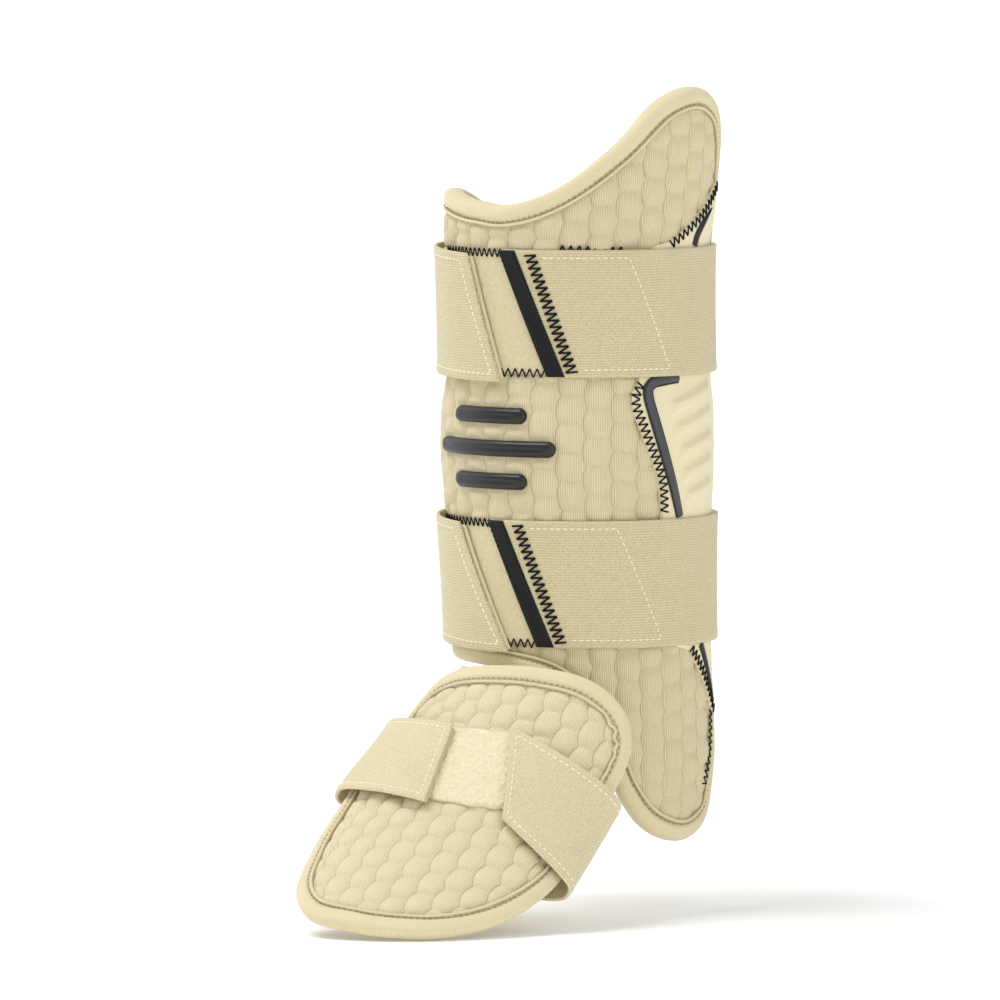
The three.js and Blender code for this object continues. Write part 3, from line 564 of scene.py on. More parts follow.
class Signal:
    """Output of a shader node, which is reckoned with like a number."""

    def __init__(self, tree, socket):
        self.tree = tree
        self.socket = socket

    def maths(self, operation, *values):
        node = self.tree.nodes.new("ShaderNodeMath")
        node.operation = operation
        for socket, value in zip(node.inputs, values):
            feed(self.tree, value, socket)
        return Signal(self.tree, node.outputs[0])

    def __add__(self, other):
        return self.maths("ADD", self, other)

    def __sub__(self, other):
        return self.maths("SUBTRACT", self, other)

    def __rsub__(self, other):
        return self.maths("SUBTRACT", other, self)

    def __mul__(self, other):
        return self.maths("MULTIPLY", self, other)

    def __truediv__(self, other):
        return self.maths("DIVIDE", self, other)

    def __pow__(self, other):
        return self.maths("POWER", self, other)

    def __abs__(self):
        return self.maths("ABSOLUTE", self)

    def sine(self):
        return self.maths("SINE", self)

    def cosine(self):
        return self.maths("COSINE", self)

    def nearest(self):
        return self.maths("ROUND", self)

    def least(self, other):
        return self.maths("MINIMUM", self, other)

    def clamped(self):
        """The same sum, kept between 0 and 1."""
        self.socket.node.use_clamp = True
        return self


def feed(tree, value, socket):
    """Give a socket another node's output, or a number or colour of its own."""
    if isinstance(value, Signal):
        tree.links.new(value.socket, socket)
    else:
        socket.default_value = value


def new_group(name, inputs, outputs):
    """Empty shader group, with its inputs as signals and its outputs as sockets, by their labels."""
    group = bpy.data.node_groups.new(name, "ShaderNodeTree")
    for label, value in inputs.items():
        socket = group.interface.new_socket(label, in_out="INPUT", socket_type="NodeSocketFloat")
        socket.default_value = value
    for label in outputs:
        group.interface.new_socket(label, in_out="OUTPUT", socket_type="NodeSocketFloat")
    given, result = group.nodes.new("NodeGroupInput"), group.nodes.new("NodeGroupOutput")
    return group, {label: Signal(group, given.outputs[label]) for label in inputs}, result.inputs


def cloth_place(tree):
    """Two distances along the cloth in millimetres."""
    split = tree.nodes.new("ShaderNodeSeparateXYZ")
    place = tree.nodes.new("ShaderNodeUVMap")
    place.uv_map = "cloth"
    tree.links.new(place.outputs[0], split.inputs[0])
    return Signal(tree, split.outputs[0]), Signal(tree, split.outputs[1])


def noise(tree, scale, detail=3.0, roughness=0.55):
    """Noise over the object's own space, scale in waves to the metre."""
    place = tree.nodes.new("ShaderNodeTexCoord")
    texture = tree.nodes.new("ShaderNodeTexNoise")
    tree.links.new(place.outputs["Object"], texture.inputs["Vector"])
    for label, value in (("Scale", scale), ("Detail", detail), ("Roughness", roughness)):
        feed(tree, value, texture.inputs[label])
    return Signal(tree, texture.outputs[0])


def wave(place, pitch, start):
    """Rounded ridges from 0 to 1, a pitch apart, moved along by a starting angle."""
    return (place / pitch * TURN + start).sine() * 0.5 + 0.5


def make_knit():
    """Fine ribs in one direction, broken by the courses that cross them."""
    inputs = {"Rib Pitch": 1.0, "Course Pitch": 0.9, "Unevenness": 0.6}
    group, given, result = new_group("knit_ribs", inputs, ["Height", "Shade"])
    u, v = cloth_place(group)
    wobble = (noise(group, 220.0) - 0.5) * (given["Unevenness"] * 4.0)
    rib = wave(u, given["Rib Pitch"], wobble)
    course = wave(v, given["Course Pitch"], rib.nearest() * math.pi)
    height = rib * 0.72 + course * 0.28
    fine = noise(group, 900.0) * 0.35 - 0.17
    feed(group, height, result["Height"])
    feed(group, (height + fine).clamped(), result["Shade"])
    return group


def make_webbing():
    """Ribbed elastic: cords along its length, crossed by fine threads."""
    inputs = {"Cord Pitch": 1.5, "Thread Pitch": 0.85}
    group, given, result = new_group("elastic_webbing", inputs, ["Height", "Shade"])
    u, v = cloth_place(group)
    cords = wave(v, given["Cord Pitch"], noise(group, 160.0) * 1.2 - 0.6)
    threads = wave(u, given["Thread Pitch"], cords.nearest() * math.pi)
    height = cords * 0.4 + threads * 0.6
    fine = noise(group, 1100.0) * 1.3 - 0.65
    feed(group, height, result["Height"])
    feed(group, (height + fine).clamped(), result["Shade"])
    return group


def make_fuzz():
    """Brushed nap: short loops that stand up in tufts."""
    group, given, result = new_group("brushed_nap", {"Tufts": 900.0}, ["Height", "Shade"])
    coarse = noise(group, given["Tufts"] * 0.4, detail=4.0, roughness=0.7)
    fine = noise(group, given["Tufts"] * 2.2, detail=2.0, roughness=0.6)
    height = coarse * 0.6 + fine * 0.4
    feed(group, height, result["Height"])
    feed(group, (height * 2.4 - 0.7).clamped(), result["Shade"])
    return group


def make_handling():
    """Broad unevenness of tone from light, folding and handling."""
    group, given, result = new_group("handling_marks", {"Amount": 1.0}, ["Tone"])
    both = noise(group, 14.0, detail=2.0) * 0.6 + noise(group, 75.0, detail=3.0) * 0.4
    feed(group, ((both - 0.5) * given["Amount"] + 0.5).clamped(), result["Tone"])
    return group


def make_seams():
    """Sewn-in creases between the quilted channels, along the same lines as the padding's own shape, with a
    mask for the painted shade in them.
    """
    inputs = {"Pitch": 13.0, "Cell": 20.0, "Sway": 2.0, "Slant": 0.0, "Seed": 1.0, "Bend": 0.7}
    group, given, result = new_group("quilt_seams", inputs, ["Height", "Crease"])
    pitch, seed = given["Pitch"], given["Seed"]
    flat_u, v = cloth_place(group)
    u = v * given["Slant"] + flat_u
    wander = (v / SLOW_WAVE + seed).sine() * SLOW_SWAY
    wander = wander + (v / QUICK_WAVE_DOWN + u / QUICK_WAVE_ACROSS).sine() * QUICK_SWAY
    place = (u + wander) / pitch
    swing = ((u / DRIFT_WAVE + seed).sine() * DRIFT + v) / given["Cell"] * math.pi
    gaps = []
    for curve, column in ((swing.cosine(), 0.0), (swing.sine(), 1.0)):
        scallop = abs(curve) ** given["Bend"] * (given["Sway"] / pitch)
        pair = (scallop + place - column) / 2.0
        gaps.append(abs(pair - pair.nearest()) * 2.0)
    gap = gaps[0].least(gaps[1]) * pitch
    feed(group, (gap / FLANK_HALF).clamped() ** 0.55, result["Height"])
    feed(group, (1.0 - gap / CREASE_HALF).clamped(), result["Crease"])
    return group


GROUPS = {
    "seams": make_seams(),
    "knit": make_knit(),
    "webbing": make_webbing(),
    "fuzz": make_fuzz(),
    "handling": make_handling(),
}


def colour(hex_code):
    """Linear colour from a hex code."""
    parts = [int(hex_code[i : i + 2], 16) / 255 for i in (0, 2, 4)]
    linear = [x / 12.92 if x <= 0.04045 else ((x + 0.055) / 1.055) ** 2.4 for x in parts]
    return (*linear, 1.0)


def mix_colour(tree, factor, low, high, blend="MIX"):
    node = tree.nodes.new("ShaderNodeMix")
    node.data_type = "RGBA"
    node.blend_type = blend
    for socket, value in ((node.inputs[0], factor), (node.inputs[6], low), (node.inputs[7], high)):
        feed(tree, value, socket)
    return Signal(tree, node.outputs[2])


def new_material(name):
    material = bpy.data.materials.new(name)
    material.use_nodes = True
    return material, material.node_tree, material.node_tree.nodes["Principled BSDF"]


def placed_group(tree, name, values):
    """One of the shared groups, placed in a material with its own values, and its outputs by their labels."""
    node = tree.nodes.new("ShaderNodeGroup")
    node.node_tree = GROUPS[name]
    for label, value in values.items():
        feed(tree, value, node.inputs[label])
    return {socket.name: Signal(tree, socket) for socket in node.outputs}


def add_relief(tree, shader, height, strength, depth):
    """Bumps from a height of 0 to 1, as deep as depth in millimetres."""
    bump = tree.nodes.new("ShaderNodeBump")
    bump.inputs["Strength"].default_value = strength
    bump.inputs["Distance"].default_value = depth * MM
    feed(tree, height, bump.inputs["Height"])
    tree.links.new(bump.outputs[0], shader.inputs["Normal"])


def cloth(name, light, shade, weave, sizes, relief, roughness=0.85, sheen=0.25, depth=1.0, quilting=None):
    """Woven or knitted finish from one of the shared groups, with creases where it is quilted, darkened there
    with painted shade.
    """
    material, tree, shader = new_material(name)
    pattern = placed_group(tree, weave, sizes)
    marks = placed_group(tree, "handling", {"Amount": 0.9})
    woven = mix_colour(tree, pattern["Shade"] * depth + (1 - depth), colour(shade), colour(light))
    dull = tuple(0.9 * x for x in colour(light)[:3]) + (1.0,)
    toned = mix_colour(tree, marks["Tone"], dull, (1.0, 1.0, 1.0, 1.0))
    blended = mix_colour(tree, 0.35, woven, toned, "MULTIPLY")
    height = pattern["Height"]
    if quilting:
        values = {label.title(): value for label, value in quilting.items() if label != "pinch"}
        seams = placed_group(tree, "seams", {**values, "Bend": SCALLOP_BEND})
        height = seams["Height"] * (CREASE_DEPTH / relief) + height
        # Painted shade: the quilting's creases are darkened towards the crease shade tint.
        deep = mix_colour(tree, 1.0, blended, colour(CREASE_SHADE_TINT), "MULTIPLY")
        blended = mix_colour(tree, seams["Crease"] * CREASE_SHADE_SHARE, blended, deep)
    feed(tree, blended, shader.inputs["Base Color"])
    shader.inputs["Roughness"].default_value = roughness
    shader.inputs["Sheen Weight"].default_value = sheen
    shader.inputs["Sheen Roughness"].default_value = 0.5
    shader.inputs["Specular IOR Level"].default_value = 0.25
    add_relief(tree, shader, height, 0.8, relief)
    return material


def smooth_rubber(name, light, shade, roughness=0.42):
    """Moulded rubber with a fine grain."""
    material, tree, shader = new_material(name)
    feed(tree, mix_colour(tree, noise(tree, 60.0), colour(shade), colour(light)), shader.inputs["Base Color"])
    feed(tree, noise(tree, 300.0) * 0.25 + (roughness - 0.12), shader.inputs["Roughness"])
    add_relief(tree, shader, noise(tree, 1800.0), 0.35, 0.08)
    return material


RIBS = {"Rib Pitch": 1.15, "Course Pitch": 1.4, "Unevenness": 0.25}
SHELL_KNIT = cloth("shell_knit", "ECE1C0", "C9BB91", "knit", RIBS, 0.38, depth=0.85, quilting=SHELL_QUILT)
# Lighter copy of the shell's knit: painted light on the flap's upward face.
LIT_FLAP_KNIT = cloth("flap_knit_painted_light", "F1E7C8", "D3C69F", "knit", RIBS, 0.38, depth=0.85, quilting=FLAP_QUILT)
PLAIN_KNIT = cloth("plain_knit", "ECE1C0", "C9BB91", "knit", RIBS, 0.25, depth=0.6)
LINING = cloth(
    "lining_mesh", "DDD0A8", "A99C74", "knit", {"Rib Pitch": 2.2, "Course Pitch": 2.0}, 0.3, depth=0.8
)
EDGE_RIBS = {"Rib Pitch": 1.2, "Course Pitch": 1.6, "Unevenness": 0.2}
EDGE_KNIT = cloth("edge_knit", "EBE0BD", "D2C69E", "knit", EDGE_RIBS, 0.2, depth=0.7)
PANEL_CLOTH = cloth(
    "panel_cloth", "F0E6C6", "E2D6B0", "knit", {"Rib Pitch": 0.7, "Course Pitch": 0.7}, 0.06, depth=0.4
)
WEAVE = {"Cord Pitch": 1.3, "Thread Pitch": 1.25}
# The same elastic webbing in two tones: the shin straps' copy is darker, painted shade of their upright faces,
# and the foot strap's copy is lighter, painted light on its upward face.
SHADED_ELASTIC = cloth("elastic", "E8DDBA", "B7AA83", "webbing", WEAVE, 0.2, depth=0.9)
LIT_FOOT_ELASTIC = cloth("foot_elastic_painted_light", "EFE5C4", "C2B58F", "webbing", WEAVE, 0.2, depth=0.9)
# The same loop tape in two tones: the instep patch's copy is lighter, painted light on the flap's upward face,
# and the shin's loop fields' copy is darker, painted shade of their upright faces.
LIT_LOOP_TAPE = cloth("loop_tape", "F8F0D6", "DDD1AC", "fuzz", {"Tufts": 1300.0}, 0.5, sheen=0.5)
SHADED_LEG_LOOPS = cloth("leg_loops_painted_shade", "E6DBB8", "CABE97", "fuzz", {"Tufts": 1500.0}, 0.35, sheen=0.3)
HOOK_TAPE = cloth("hook_tape", "E8DDB9", "CBBE98", "fuzz", {"Tufts": 1500.0}, 0.3, sheen=0.2)
TAPE_WEAVE = {"Cord Pitch": 1.0, "Thread Pitch": 0.8}
DARK_TAPE = cloth("dark_tape", "17181B", "08090A", "webbing", TAPE_WEAVE, 0.12, roughness=0.5, sheen=0.03)
PALE_THREAD = cloth("pale_thread", "FFFAEA", "F0E6CA", "fuzz", {"Tufts": 1600.0}, 0.05)
# Stitches of the rolled edges: real stitches, coloured a darker tan than cream thread as painted shade of
# their sunken needle holes.
SHADED_SEAM_THREAD = cloth("seam_thread_painted_shade", "B5A881", "8C8060", "fuzz", {"Tufts": 1600.0}, 0.05)
DARK_THREAD = cloth("dark_thread", "17181B", "060607", "fuzz", {"Tufts": 1600.0}, 0.05, sheen=0.03)
GREY_THREAD = cloth("grey_thread", "3C3D40", "1E1F21", "fuzz", {"Tufts": 1600.0}, 0.05, sheen=0.03)
GREY_RUBBER = smooth_rubber("grey_rubber", "4A4B4E", "333436")
DARK_RUBBER = smooth_rubber("dark_rubber", "1D1D1E", "101011", roughness=0.36)


# Quilting


def cell_luck(column, cell, seed):
    """Steady number from 0 to 1 for one quilted cell, from the far digits of a sine."""
    far_digits = 43758.5453
    value = np.sin(column * 12.9898 + cell * 78.233 + seed * 37.719) * far_digits
    return value - np.floor(value)


def quilt(across, b, pitch, cell, sway, pinch, slant, seed):
    """Height of quilted channels that run along b, pinched into scale-like cells, half a cell apart."""
    a = across + slant * b
    wander = SLOW_SWAY * np.sin(b / SLOW_WAVE + seed)
    wander = wander + QUICK_SWAY * np.sin(b / QUICK_WAVE_DOWN + a / QUICK_WAVE_ACROSS)
    place = (a + wander) / pitch
    run = (b + DRIFT * np.sin(a / DRIFT_WAVE + seed)) / cell

    def seam(k):
        return k - np.abs(np.cos(np.pi * (run + 0.5 * (k % 2)))) ** SCALLOP_BEND * sway / pitch

    k = np.floor(place)
    k = np.where(place >= seam(k + 1), k + 1, k)
    left, right = seam(k), seam(k + 1)
    aside = 2 * (place - left) / (right - left) - 1
    step = run + 0.5 * (k % 2)
    ahead = 2 * (step - np.round(step))
    crown = (1 - np.abs(aside) ** 2.6) ** 0.75 * (1 - pinch * np.abs(ahead) ** 3.5)
    return crown * (0.85 + 0.3 * cell_luck(k, np.round(step), seed))


shell_edge = anticlockwise(smooth_line(shell_places(SHELL_OUTLINE), 900, closed=True))
flap_edge = anticlockwise(
    smooth_line([(x * FLAP_HALF, y * FLAP_LENGTH) for x, y in FLAP_OUTLINE], 560, closed=True)
)


def under_straps(z, soft=3.0):
    """1 under a shin strap and 0 away from it."""
    covered = 0
    for strap in STRAPS.values():
        reach = np.abs(z - strap["middle"]) - STRAP_WIDTH / 2
        covered = np.maximum(covered, 1 - ease(reach, -soft, soft * 0.3))
    return covered


def near_bars(a, z):
    """1 under the raised bars and 0 a little way off them."""
    pressed = 0
    for half_turn, middle in BARS:
        past = np.maximum(np.abs(a) - (around_at(half_turn) - BAR_HALF), 0)
        off_bar = ease(np.hypot(past, z - middle), BAR_HALF, BAR_HALF + BAR_PRESS)
        pressed = np.maximum(pressed, 1 - off_bar)
    return pressed


def make_shin_pad():
    rim = shell_edge + left_normals(shell_edge, closed=True) * (EDGE_WIDTH * 0.5)
    grid = filled(rim, 244, 202)
    a, z = grid[..., 0], grid[..., 1]
    from_edge = distance_to(shell_edge, grid)
    pressed = np.maximum(under_straps(z), near_bars(a, z))
    cells = quilt(a, z, **SHELL_QUILT)
    sewn = 1 - ease(from_edge, EDGE_WIDTH - 1, EDGE_WIDTH + 5)
    puff = SHELL_PUFF * cells * (1 - 0.85 * pressed) * (1 - 0.6 * sewn)
    top = -SEAM_SUNK + puff - EDGE_DIP * sewn + 0.35 * pressed
    ripple = 0.25 * np.sin(z / 9.0 + a / 21.0) * np.sin(a / 14.0)
    bottom = -SHELL_THICK + ripple + 0.8 * sewn
    piece = Piece()
    piece.sheet(on_shin, grid, top, bottom, 0, lining=1)
    pad = piece.object("shin_pad", "shin_shell", [SHELL_KNIT, LINING])


def edge_rings(surface, edge, width, thick):
    """Rolled edge: a full round outside and a sewn groove inside."""
    inward = left_normals(edge, closed=True)
    steps = run_along(edge)
    half = width / 2
    tall = (thick + 2 * EDGE_PROUD) / 2
    angle = TURN * np.arange(36) / 36
    across = half * signed_power(np.cos(angle), 0.78)
    upward = tall * signed_power(np.sin(angle), 0.72)
    groove = bump_at(across, half - SEAM_INSET, 0.75) * (np.sin(angle) > 0)
    upward = upward - GROOVE_DEPTH * groove
    swell = 0.18 * np.sin(steps / 19.0)[:, None] * (np.sin(angle) > 0.2)[None]
    flat = edge[:, None] + inward[:, None] * (half + across)[None, :, None]
    rings = surface(flat[..., 0], flat[..., 1], -thick / 2 + upward[None] + swell)
    return rings, steps


def make_edge(name, node, surface, edge, width, thick, lip):
    """Rolled edge round a pad, with its row of stitches in thread darkened by painted shade, and the welt
    inside it.
    """
    rings, steps = edge_rings(surface, edge, width, thick)
    piece = Piece()
    girth = np.linspace(0, 2 * (width + thick) * 0.85, rings.shape[1] + 1)
    total = steps[-1] + np.linalg.norm(edge[0] - edge[-1])
    place = grid_of(np.concatenate([steps, [total]]), girth)
    piece.tubes(rings[None], place[None], closed=True)
    inward = left_normals(edge, closed=True)
    groove = edge + inward * (width - SEAM_INSET)
    row = np.vstack([groove, groove[:1]])
    stitches_on(piece, surface, row, EDGE_PROUD - GROOVE_DEPTH, pitch=3.0, length=1.5, radius=0.26, finish=1)
    welt = edge + inward * (width + 0.3 + lip(edge))[:, None]
    cord_on(piece, surface, np.vstack([welt, welt[:1]]), 0.05, 0.8, sides=10, finish=2)
    piece.object(name, node, [EDGE_KNIT, SHADED_SEAM_THREAD, PLAIN_KNIT])


def shin_lip(edge):
    return 0.15 * np.sin(edge[:, 0] / 7.0 + edge[:, 1] / 11.0)


def flap_lip(edge):
    """The flap's lip puckers at its outer side, where the edge turns back."""
    pucker = bump_at(edge[:, 0], 0.8 * FLAP_HALF, 13.0) * bump_at(edge[:, 1], 0.14 * FLAP_LENGTH, 17.0)
    return 0.2 * np.sin(edge[:, 1] / 9.0) + pucker * 1.3 * np.sin(edge[:, 1] / 1.35)


# Side panel


def panel_lift(a, z):
    """Lift of the side panel's face, with its slanted ribs."""
    lift = np.full(np.broadcast(a, z).shape, PANEL_LIFT + PANEL_THICK)
    fade_start, fade_end = (around_at(turn) for turn in RIB_FADE_TURNS)
    for i in range(RIB_COUNT):
        start = around_at(RIB_FIRST_TURN) + (RIB_COUNT - 1 - i) * RIB_STEP
        middle = RIB_LOWEST + RIB_PITCH * i + (a - start) * RIB_SLOPE
        inside = ease(a, start - 1, start + 3) * (1 - ease(a, fade_start, fade_end))
        lift = lift + RIB_HEIGHT * inside * np.exp(-(((z - middle) / RIB_HALF) ** 6))
    return lift


def make_side_panel():
    front = smooth_line(shell_places(PANEL_EDGE), 200)
    rear = shell_edge + left_normals(shell_edge, closed=True) * (EDGE_WIDTH + 0.2)
    shown = (rear[:, 0] > around_at(110)) & (rear[:, 1] > front[-1, 1]) & (rear[:, 1] < front[0, 1])
    loop = np.vstack([front, rear[shown]])
    grid = filled(loop, 90, 190, margin=0.5)
    from_edge = distance_to(loop, grid)
    rounding = np.sqrt(1 - (1 - np.clip(from_edge / PANEL_ROUNDING, 0, 1)) ** 2)
    crown = 0.5 * ease(from_edge, 3, 16)
    base = PANEL_LIFT - PANEL_SUNK
    top = base + (panel_lift(grid[..., 0], grid[..., 1]) + crown - base) * np.maximum(rounding, 0.12)
    piece = Piece()
    piece.sheet(on_shin, grid, top, np.full_like(top, base - 0.3))

    sewn = front + left_normals(front) * 2.1
    above, between, below = (height_at(0.792), SHELL_TOP), (-30.0, 34.5), (SHELL_BOTTOM, -96.5)
    face = PANEL_LIFT + PANEL_THICK
    rows = [(smooth_line(shell_places(LOBE_SEAM), 60), 0.75)]
    for low, high in (above, between, below):
        rows.append((sewn[(sewn[:, 1] > low) & (sewn[:, 1] < high)], face + 0.35))
    for row, lift in rows:
        zigzag_on(piece, on_shin, row, lift, 3.4, 5.2, 0.42, finish=1)
    panel = piece.object("side_panel_cloth", "side_panel", [PANEL_CLOTH, DARK_THREAD])


def make_piping(name, node, rows, count, rubber):
    """Stretch of the cord, with a thin dark line on each side."""
    line = smooth_line(shell_places(rows), count)
    flat, wide = line[:, :2], line[:, 2]
    face = PANEL_LIFT + PANEL_THICK
    half = CORD_HALF * wide
    piece = Piece()
    cord_on(piece, on_shin, flat, face + 0.7, half, 1.25 * wide, sides=16)
    for side in (-1, 1):
        beside = flat + side * left_normals(flat) * (half + 0.1)[:, None]
        cord_on(piece, on_shin, beside, face + 0.5, 0.55 * wide, 0.65 * wide, sides=10, finish=1)
    piece.object(name, node, [rubber, DARK_RUBBER])


# Shin straps


def strap_lift(around):
    turn = np.degrees(np.asarray(around, float) / SHELL_RADIUS)
    return soft_table(turn, LIFT_TURNS, LIFT_HEIGHTS, 4.0)


def strap_sag(around):
    return STRAP_SAG * ease(np.degrees(np.asarray(around, float) / SHELL_RADIUS), *SAG_TURNS)


def strap_swell(around, across):
    """Soft unevenness of the strap's face."""
    return 0.25 * np.sin(around / 16.0 + across / 21.0) * np.sin(np.pi * across / STRAP_WIDTH)


def slant(ends, share):
    """Distance round the leg of a slanted end, at shares of the strap's width from its lower edge."""
    return around_at(ends[0] + (ends[1] - ends[0]) * np.asarray(share, float))


def strap_edges(strap, inset=0.0):
    """Heights at an inset from a strap's lower and upper edge."""
    half = STRAP_WIDTH / 2 - inset
    return strap["middle"] - half, strap["middle"] + half


def sagging(line):
    """Flat line that follows the sag of a strap's free end."""
    return np.stack([line[:, 0], line[:, 1] - strap_sag(line[:, 0])], -1)


def face_of(strap):
    """Surface map of a strap's outer face."""
    bottom = strap_edges(strap)[0]

    def face(around, z, lift):
        across = np.clip(z + strap_sag(around) - bottom, 0, STRAP_WIDTH)
        return on_shin(around, z, strap_lift(around) + STRAP_THICK + strap_swell(around, across) + lift)

    return face


def even_edges(count, length, fine=1.2):
    """Shares from 0 to 1 with a few close to both ends, where a sheet's edge is rounded."""
    near = np.array([0.0, 0.12, 0.35, 0.7, 1.0]) * fine / length
    middle = np.linspace(fine / length, 1 - fine / length, count)[1:-1]
    return np.concatenate([near, middle, 1 - near[::-1]])


def band_grid(strap, start, end, columns, length, inset=0.0):
    """Grid of a slanted band between two ends, in distance round the leg and height."""
    width = STRAP_WIDTH - 2 * inset
    share = even_edges(BAND_ROWS, width)
    along = even_edges(columns, length)
    begin, finish = (slant(ends, (inset + share * width) / STRAP_WIDTH) for ends in (start, end))
    a = begin[None] + (finish - begin)[None] * along[:, None]
    z = strap["middle"] - width / 2 + share[None] * width - strap_sag(a)
    return np.stack([a, z], -1)


def rounded(grid, radius):
    """Share of its full thickness that a band has near its border."""
    border = np.vstack([grid[0], grid[:, -1], grid[-1][::-1], grid[:, 0][::-1]])
    dense = spaced(border, 1600)
    depth = np.clip(distance_to(dense, grid) / radius, 0, 1)
    return np.sqrt(1 - (1 - depth) ** 2)


def strap_rows(strap, zigzag):
    """Stitch rows of a strap: a box past its zigzag, and three sides of its free end."""
    low, high = strap_edges(strap, STITCH_INSET)
    box = slant(strap["box"], BOTH_EDGES)
    free = slant(strap["free"], BOTH_EDGES) - FREE_INSET
    back = around_at(FREE_ROW_TURN)
    box_rows = [
        straight((zigzag[0] + 5, low), (box[0], low)),
        straight((box[0], low), (box[1], high)),
        straight((zigzag[1] + 6, high), (box[1], high)),
    ]
    free_rows = [
        straight((back, low), (free[0], low), 60),
        straight((back, high), (free[1], high), 60),
        straight((free[0], low), (free[1], high), 60),
    ]
    return box_rows + [sagging(row) for row in free_rows]


def make_strap(prefix, strap):
    """Elastic webbing from its sewn end round the leg to its free end."""
    grid = band_grid(strap, strap["sewn"], strap["free"], 220, STRAP_LENGTH)
    a = grid[..., 0]
    across = even_edges(BAND_ROWS, STRAP_WIDTH)[None] * STRAP_WIDTH
    selvage = sum(bump_at(across, x, 0.6) for x in (1.4, 3.1, STRAP_WIDTH - 3.1, STRAP_WIDTH - 1.4))
    half = STRAP_THICK / 2 * rounded(grid, 0.9)
    core = strap_lift(a) + STRAP_THICK / 2 + strap_swell(a, across)
    piece = Piece()
    piece.sheet(on_shin, grid, core + half + 0.16 * selvage, core - half)

    face = face_of(strap)
    zigzag = slant(strap["sewn"], BOTH_EDGES) + ZIGZAG_PAST
    for row in strap_rows(strap, zigzag):
        stitches_on(piece, face, row, 0.12, pitch=3.2, length=2.3, radius=0.38, finish=1)
    seam = straight(*zip(zigzag, strap_edges(strap, 2.0)))
    zigzag_on(piece, face, seam, 0.35, 3.3, 6.2, 0.55, finish=2)
    cut_end = sagging(straight(*zip(slant(strap["free"], BOTH_EDGES), strap_edges(strap, 0.6)), 60))
    fringe_on(piece, face, cut_end, -0.6, 1.5, seed=strap["seed"], finish=1)
    piece.object(f"{prefix}_strap_webbing", f"{prefix}_strap", [SHADED_ELASTIC, PALE_THREAD, DARK_THREAD])


def make_label(prefix, strap):
    """Dark tape across the strap at its sewn end."""
    start = strap["sewn"]
    reach = math.degrees(LABEL_WIDTH / SHELL_RADIUS)
    grid = band_grid(strap, start, (start[0] + reach, start[1] + reach), 14, TAPE_LENGTH, 0.4)
    lift = strap_lift(grid[..., 0]) + STRAP_THICK
    piece = Piece()
    piece.sheet(on_shin, grid, lift + 0.15 + 0.95 * rounded(grid, 0.7), lift - 0.1)
    for offset in (1.3, LABEL_WIDTH - 1.3):
        row = straight(*zip(slant(start, BOTH_EDGES) + offset, strap_edges(strap, 2.2)))
        stitches_on(piece, face_of(strap), row, 1.12, pitch=2.6, length=1.8, radius=0.3, finish=1)
    piece.object(f"{prefix}_label_tape", f"{prefix}_label", [DARK_TAPE, GREY_THREAD])


def make_loop_field(prefix, strap):
    """Loop field on the shell that the strap's free end holds to, with dark zigzag rows on its edges."""
    sewn = strap["sewn"]
    ends = (FIELD_TURN, FIELD_TURN), (sewn[0] + 361, sewn[1] + 361)
    grid = band_grid(strap, *ends, 70, STRAP_LENGTH, 1.5)
    grid[..., 1] += strap_sag(grid[..., 0])
    a, z = grid[..., 0], grid[..., 1]
    full = rounded(grid, 1.2)
    tufts = 0.22 * np.sin(a * 1.9 + 2 * np.sin(z * 0.7)) * np.sin(z * 2.1 + 1.7 * np.sin(a * 0.9))
    piece = Piece()
    piece.sheet(on_shin, grid, 0.1 + (1.35 + tufts) * full, np.full(full.shape, -0.5))
    low, high = z.min() + 0.6, z.max() - 0.4
    lines = (
        (straight((around_at(sewn[0] + 320), low), (around_at(sewn[0] + 359), low)), 3.9, 4.4),
        (straight((around_at(sewn[1] + 322), high), (around_at(sewn[1] + 362), high)), 3.2, 4.4),
    )
    for line, pitch, width in lines:
        zigzag_on(piece, on_shin, line, 1.75, pitch, width, 0.36, finish=1)
    if prefix == "upper":
        behind = straight((around_at(34), high + 1.8), (around_at(63), high + 0.9))
        zigzag_on(piece, on_shin, behind, 0.5, 4.1, 5.0, 0.42, finish=1)
    piece.object(f"{prefix}_loop_field", f"{prefix}_patch", [SHADED_LEG_LOOPS, DARK_THREAD])


def make_hook_end(prefix, strap):
    """Hook tape under the strap's free end. Its edge shows past the strap."""
    free = strap["free"]
    grid = band_grid(strap, (HOOK_TURN, HOOK_TURN), (free[0] + 1.6, free[1] + 1.6), 50, TAPE_LENGTH, 1.6)
    full = rounded(grid, 0.6)
    piece = Piece()
    piece.sheet(on_shin, grid, HOOK_LIFT + 0.85 * full, HOOK_LIFT - 0.6 * full)
    piece.object(f"{prefix}_hook_end", f"{prefix}_tab", [HOOK_TAPE])


# Raised bars on the shin


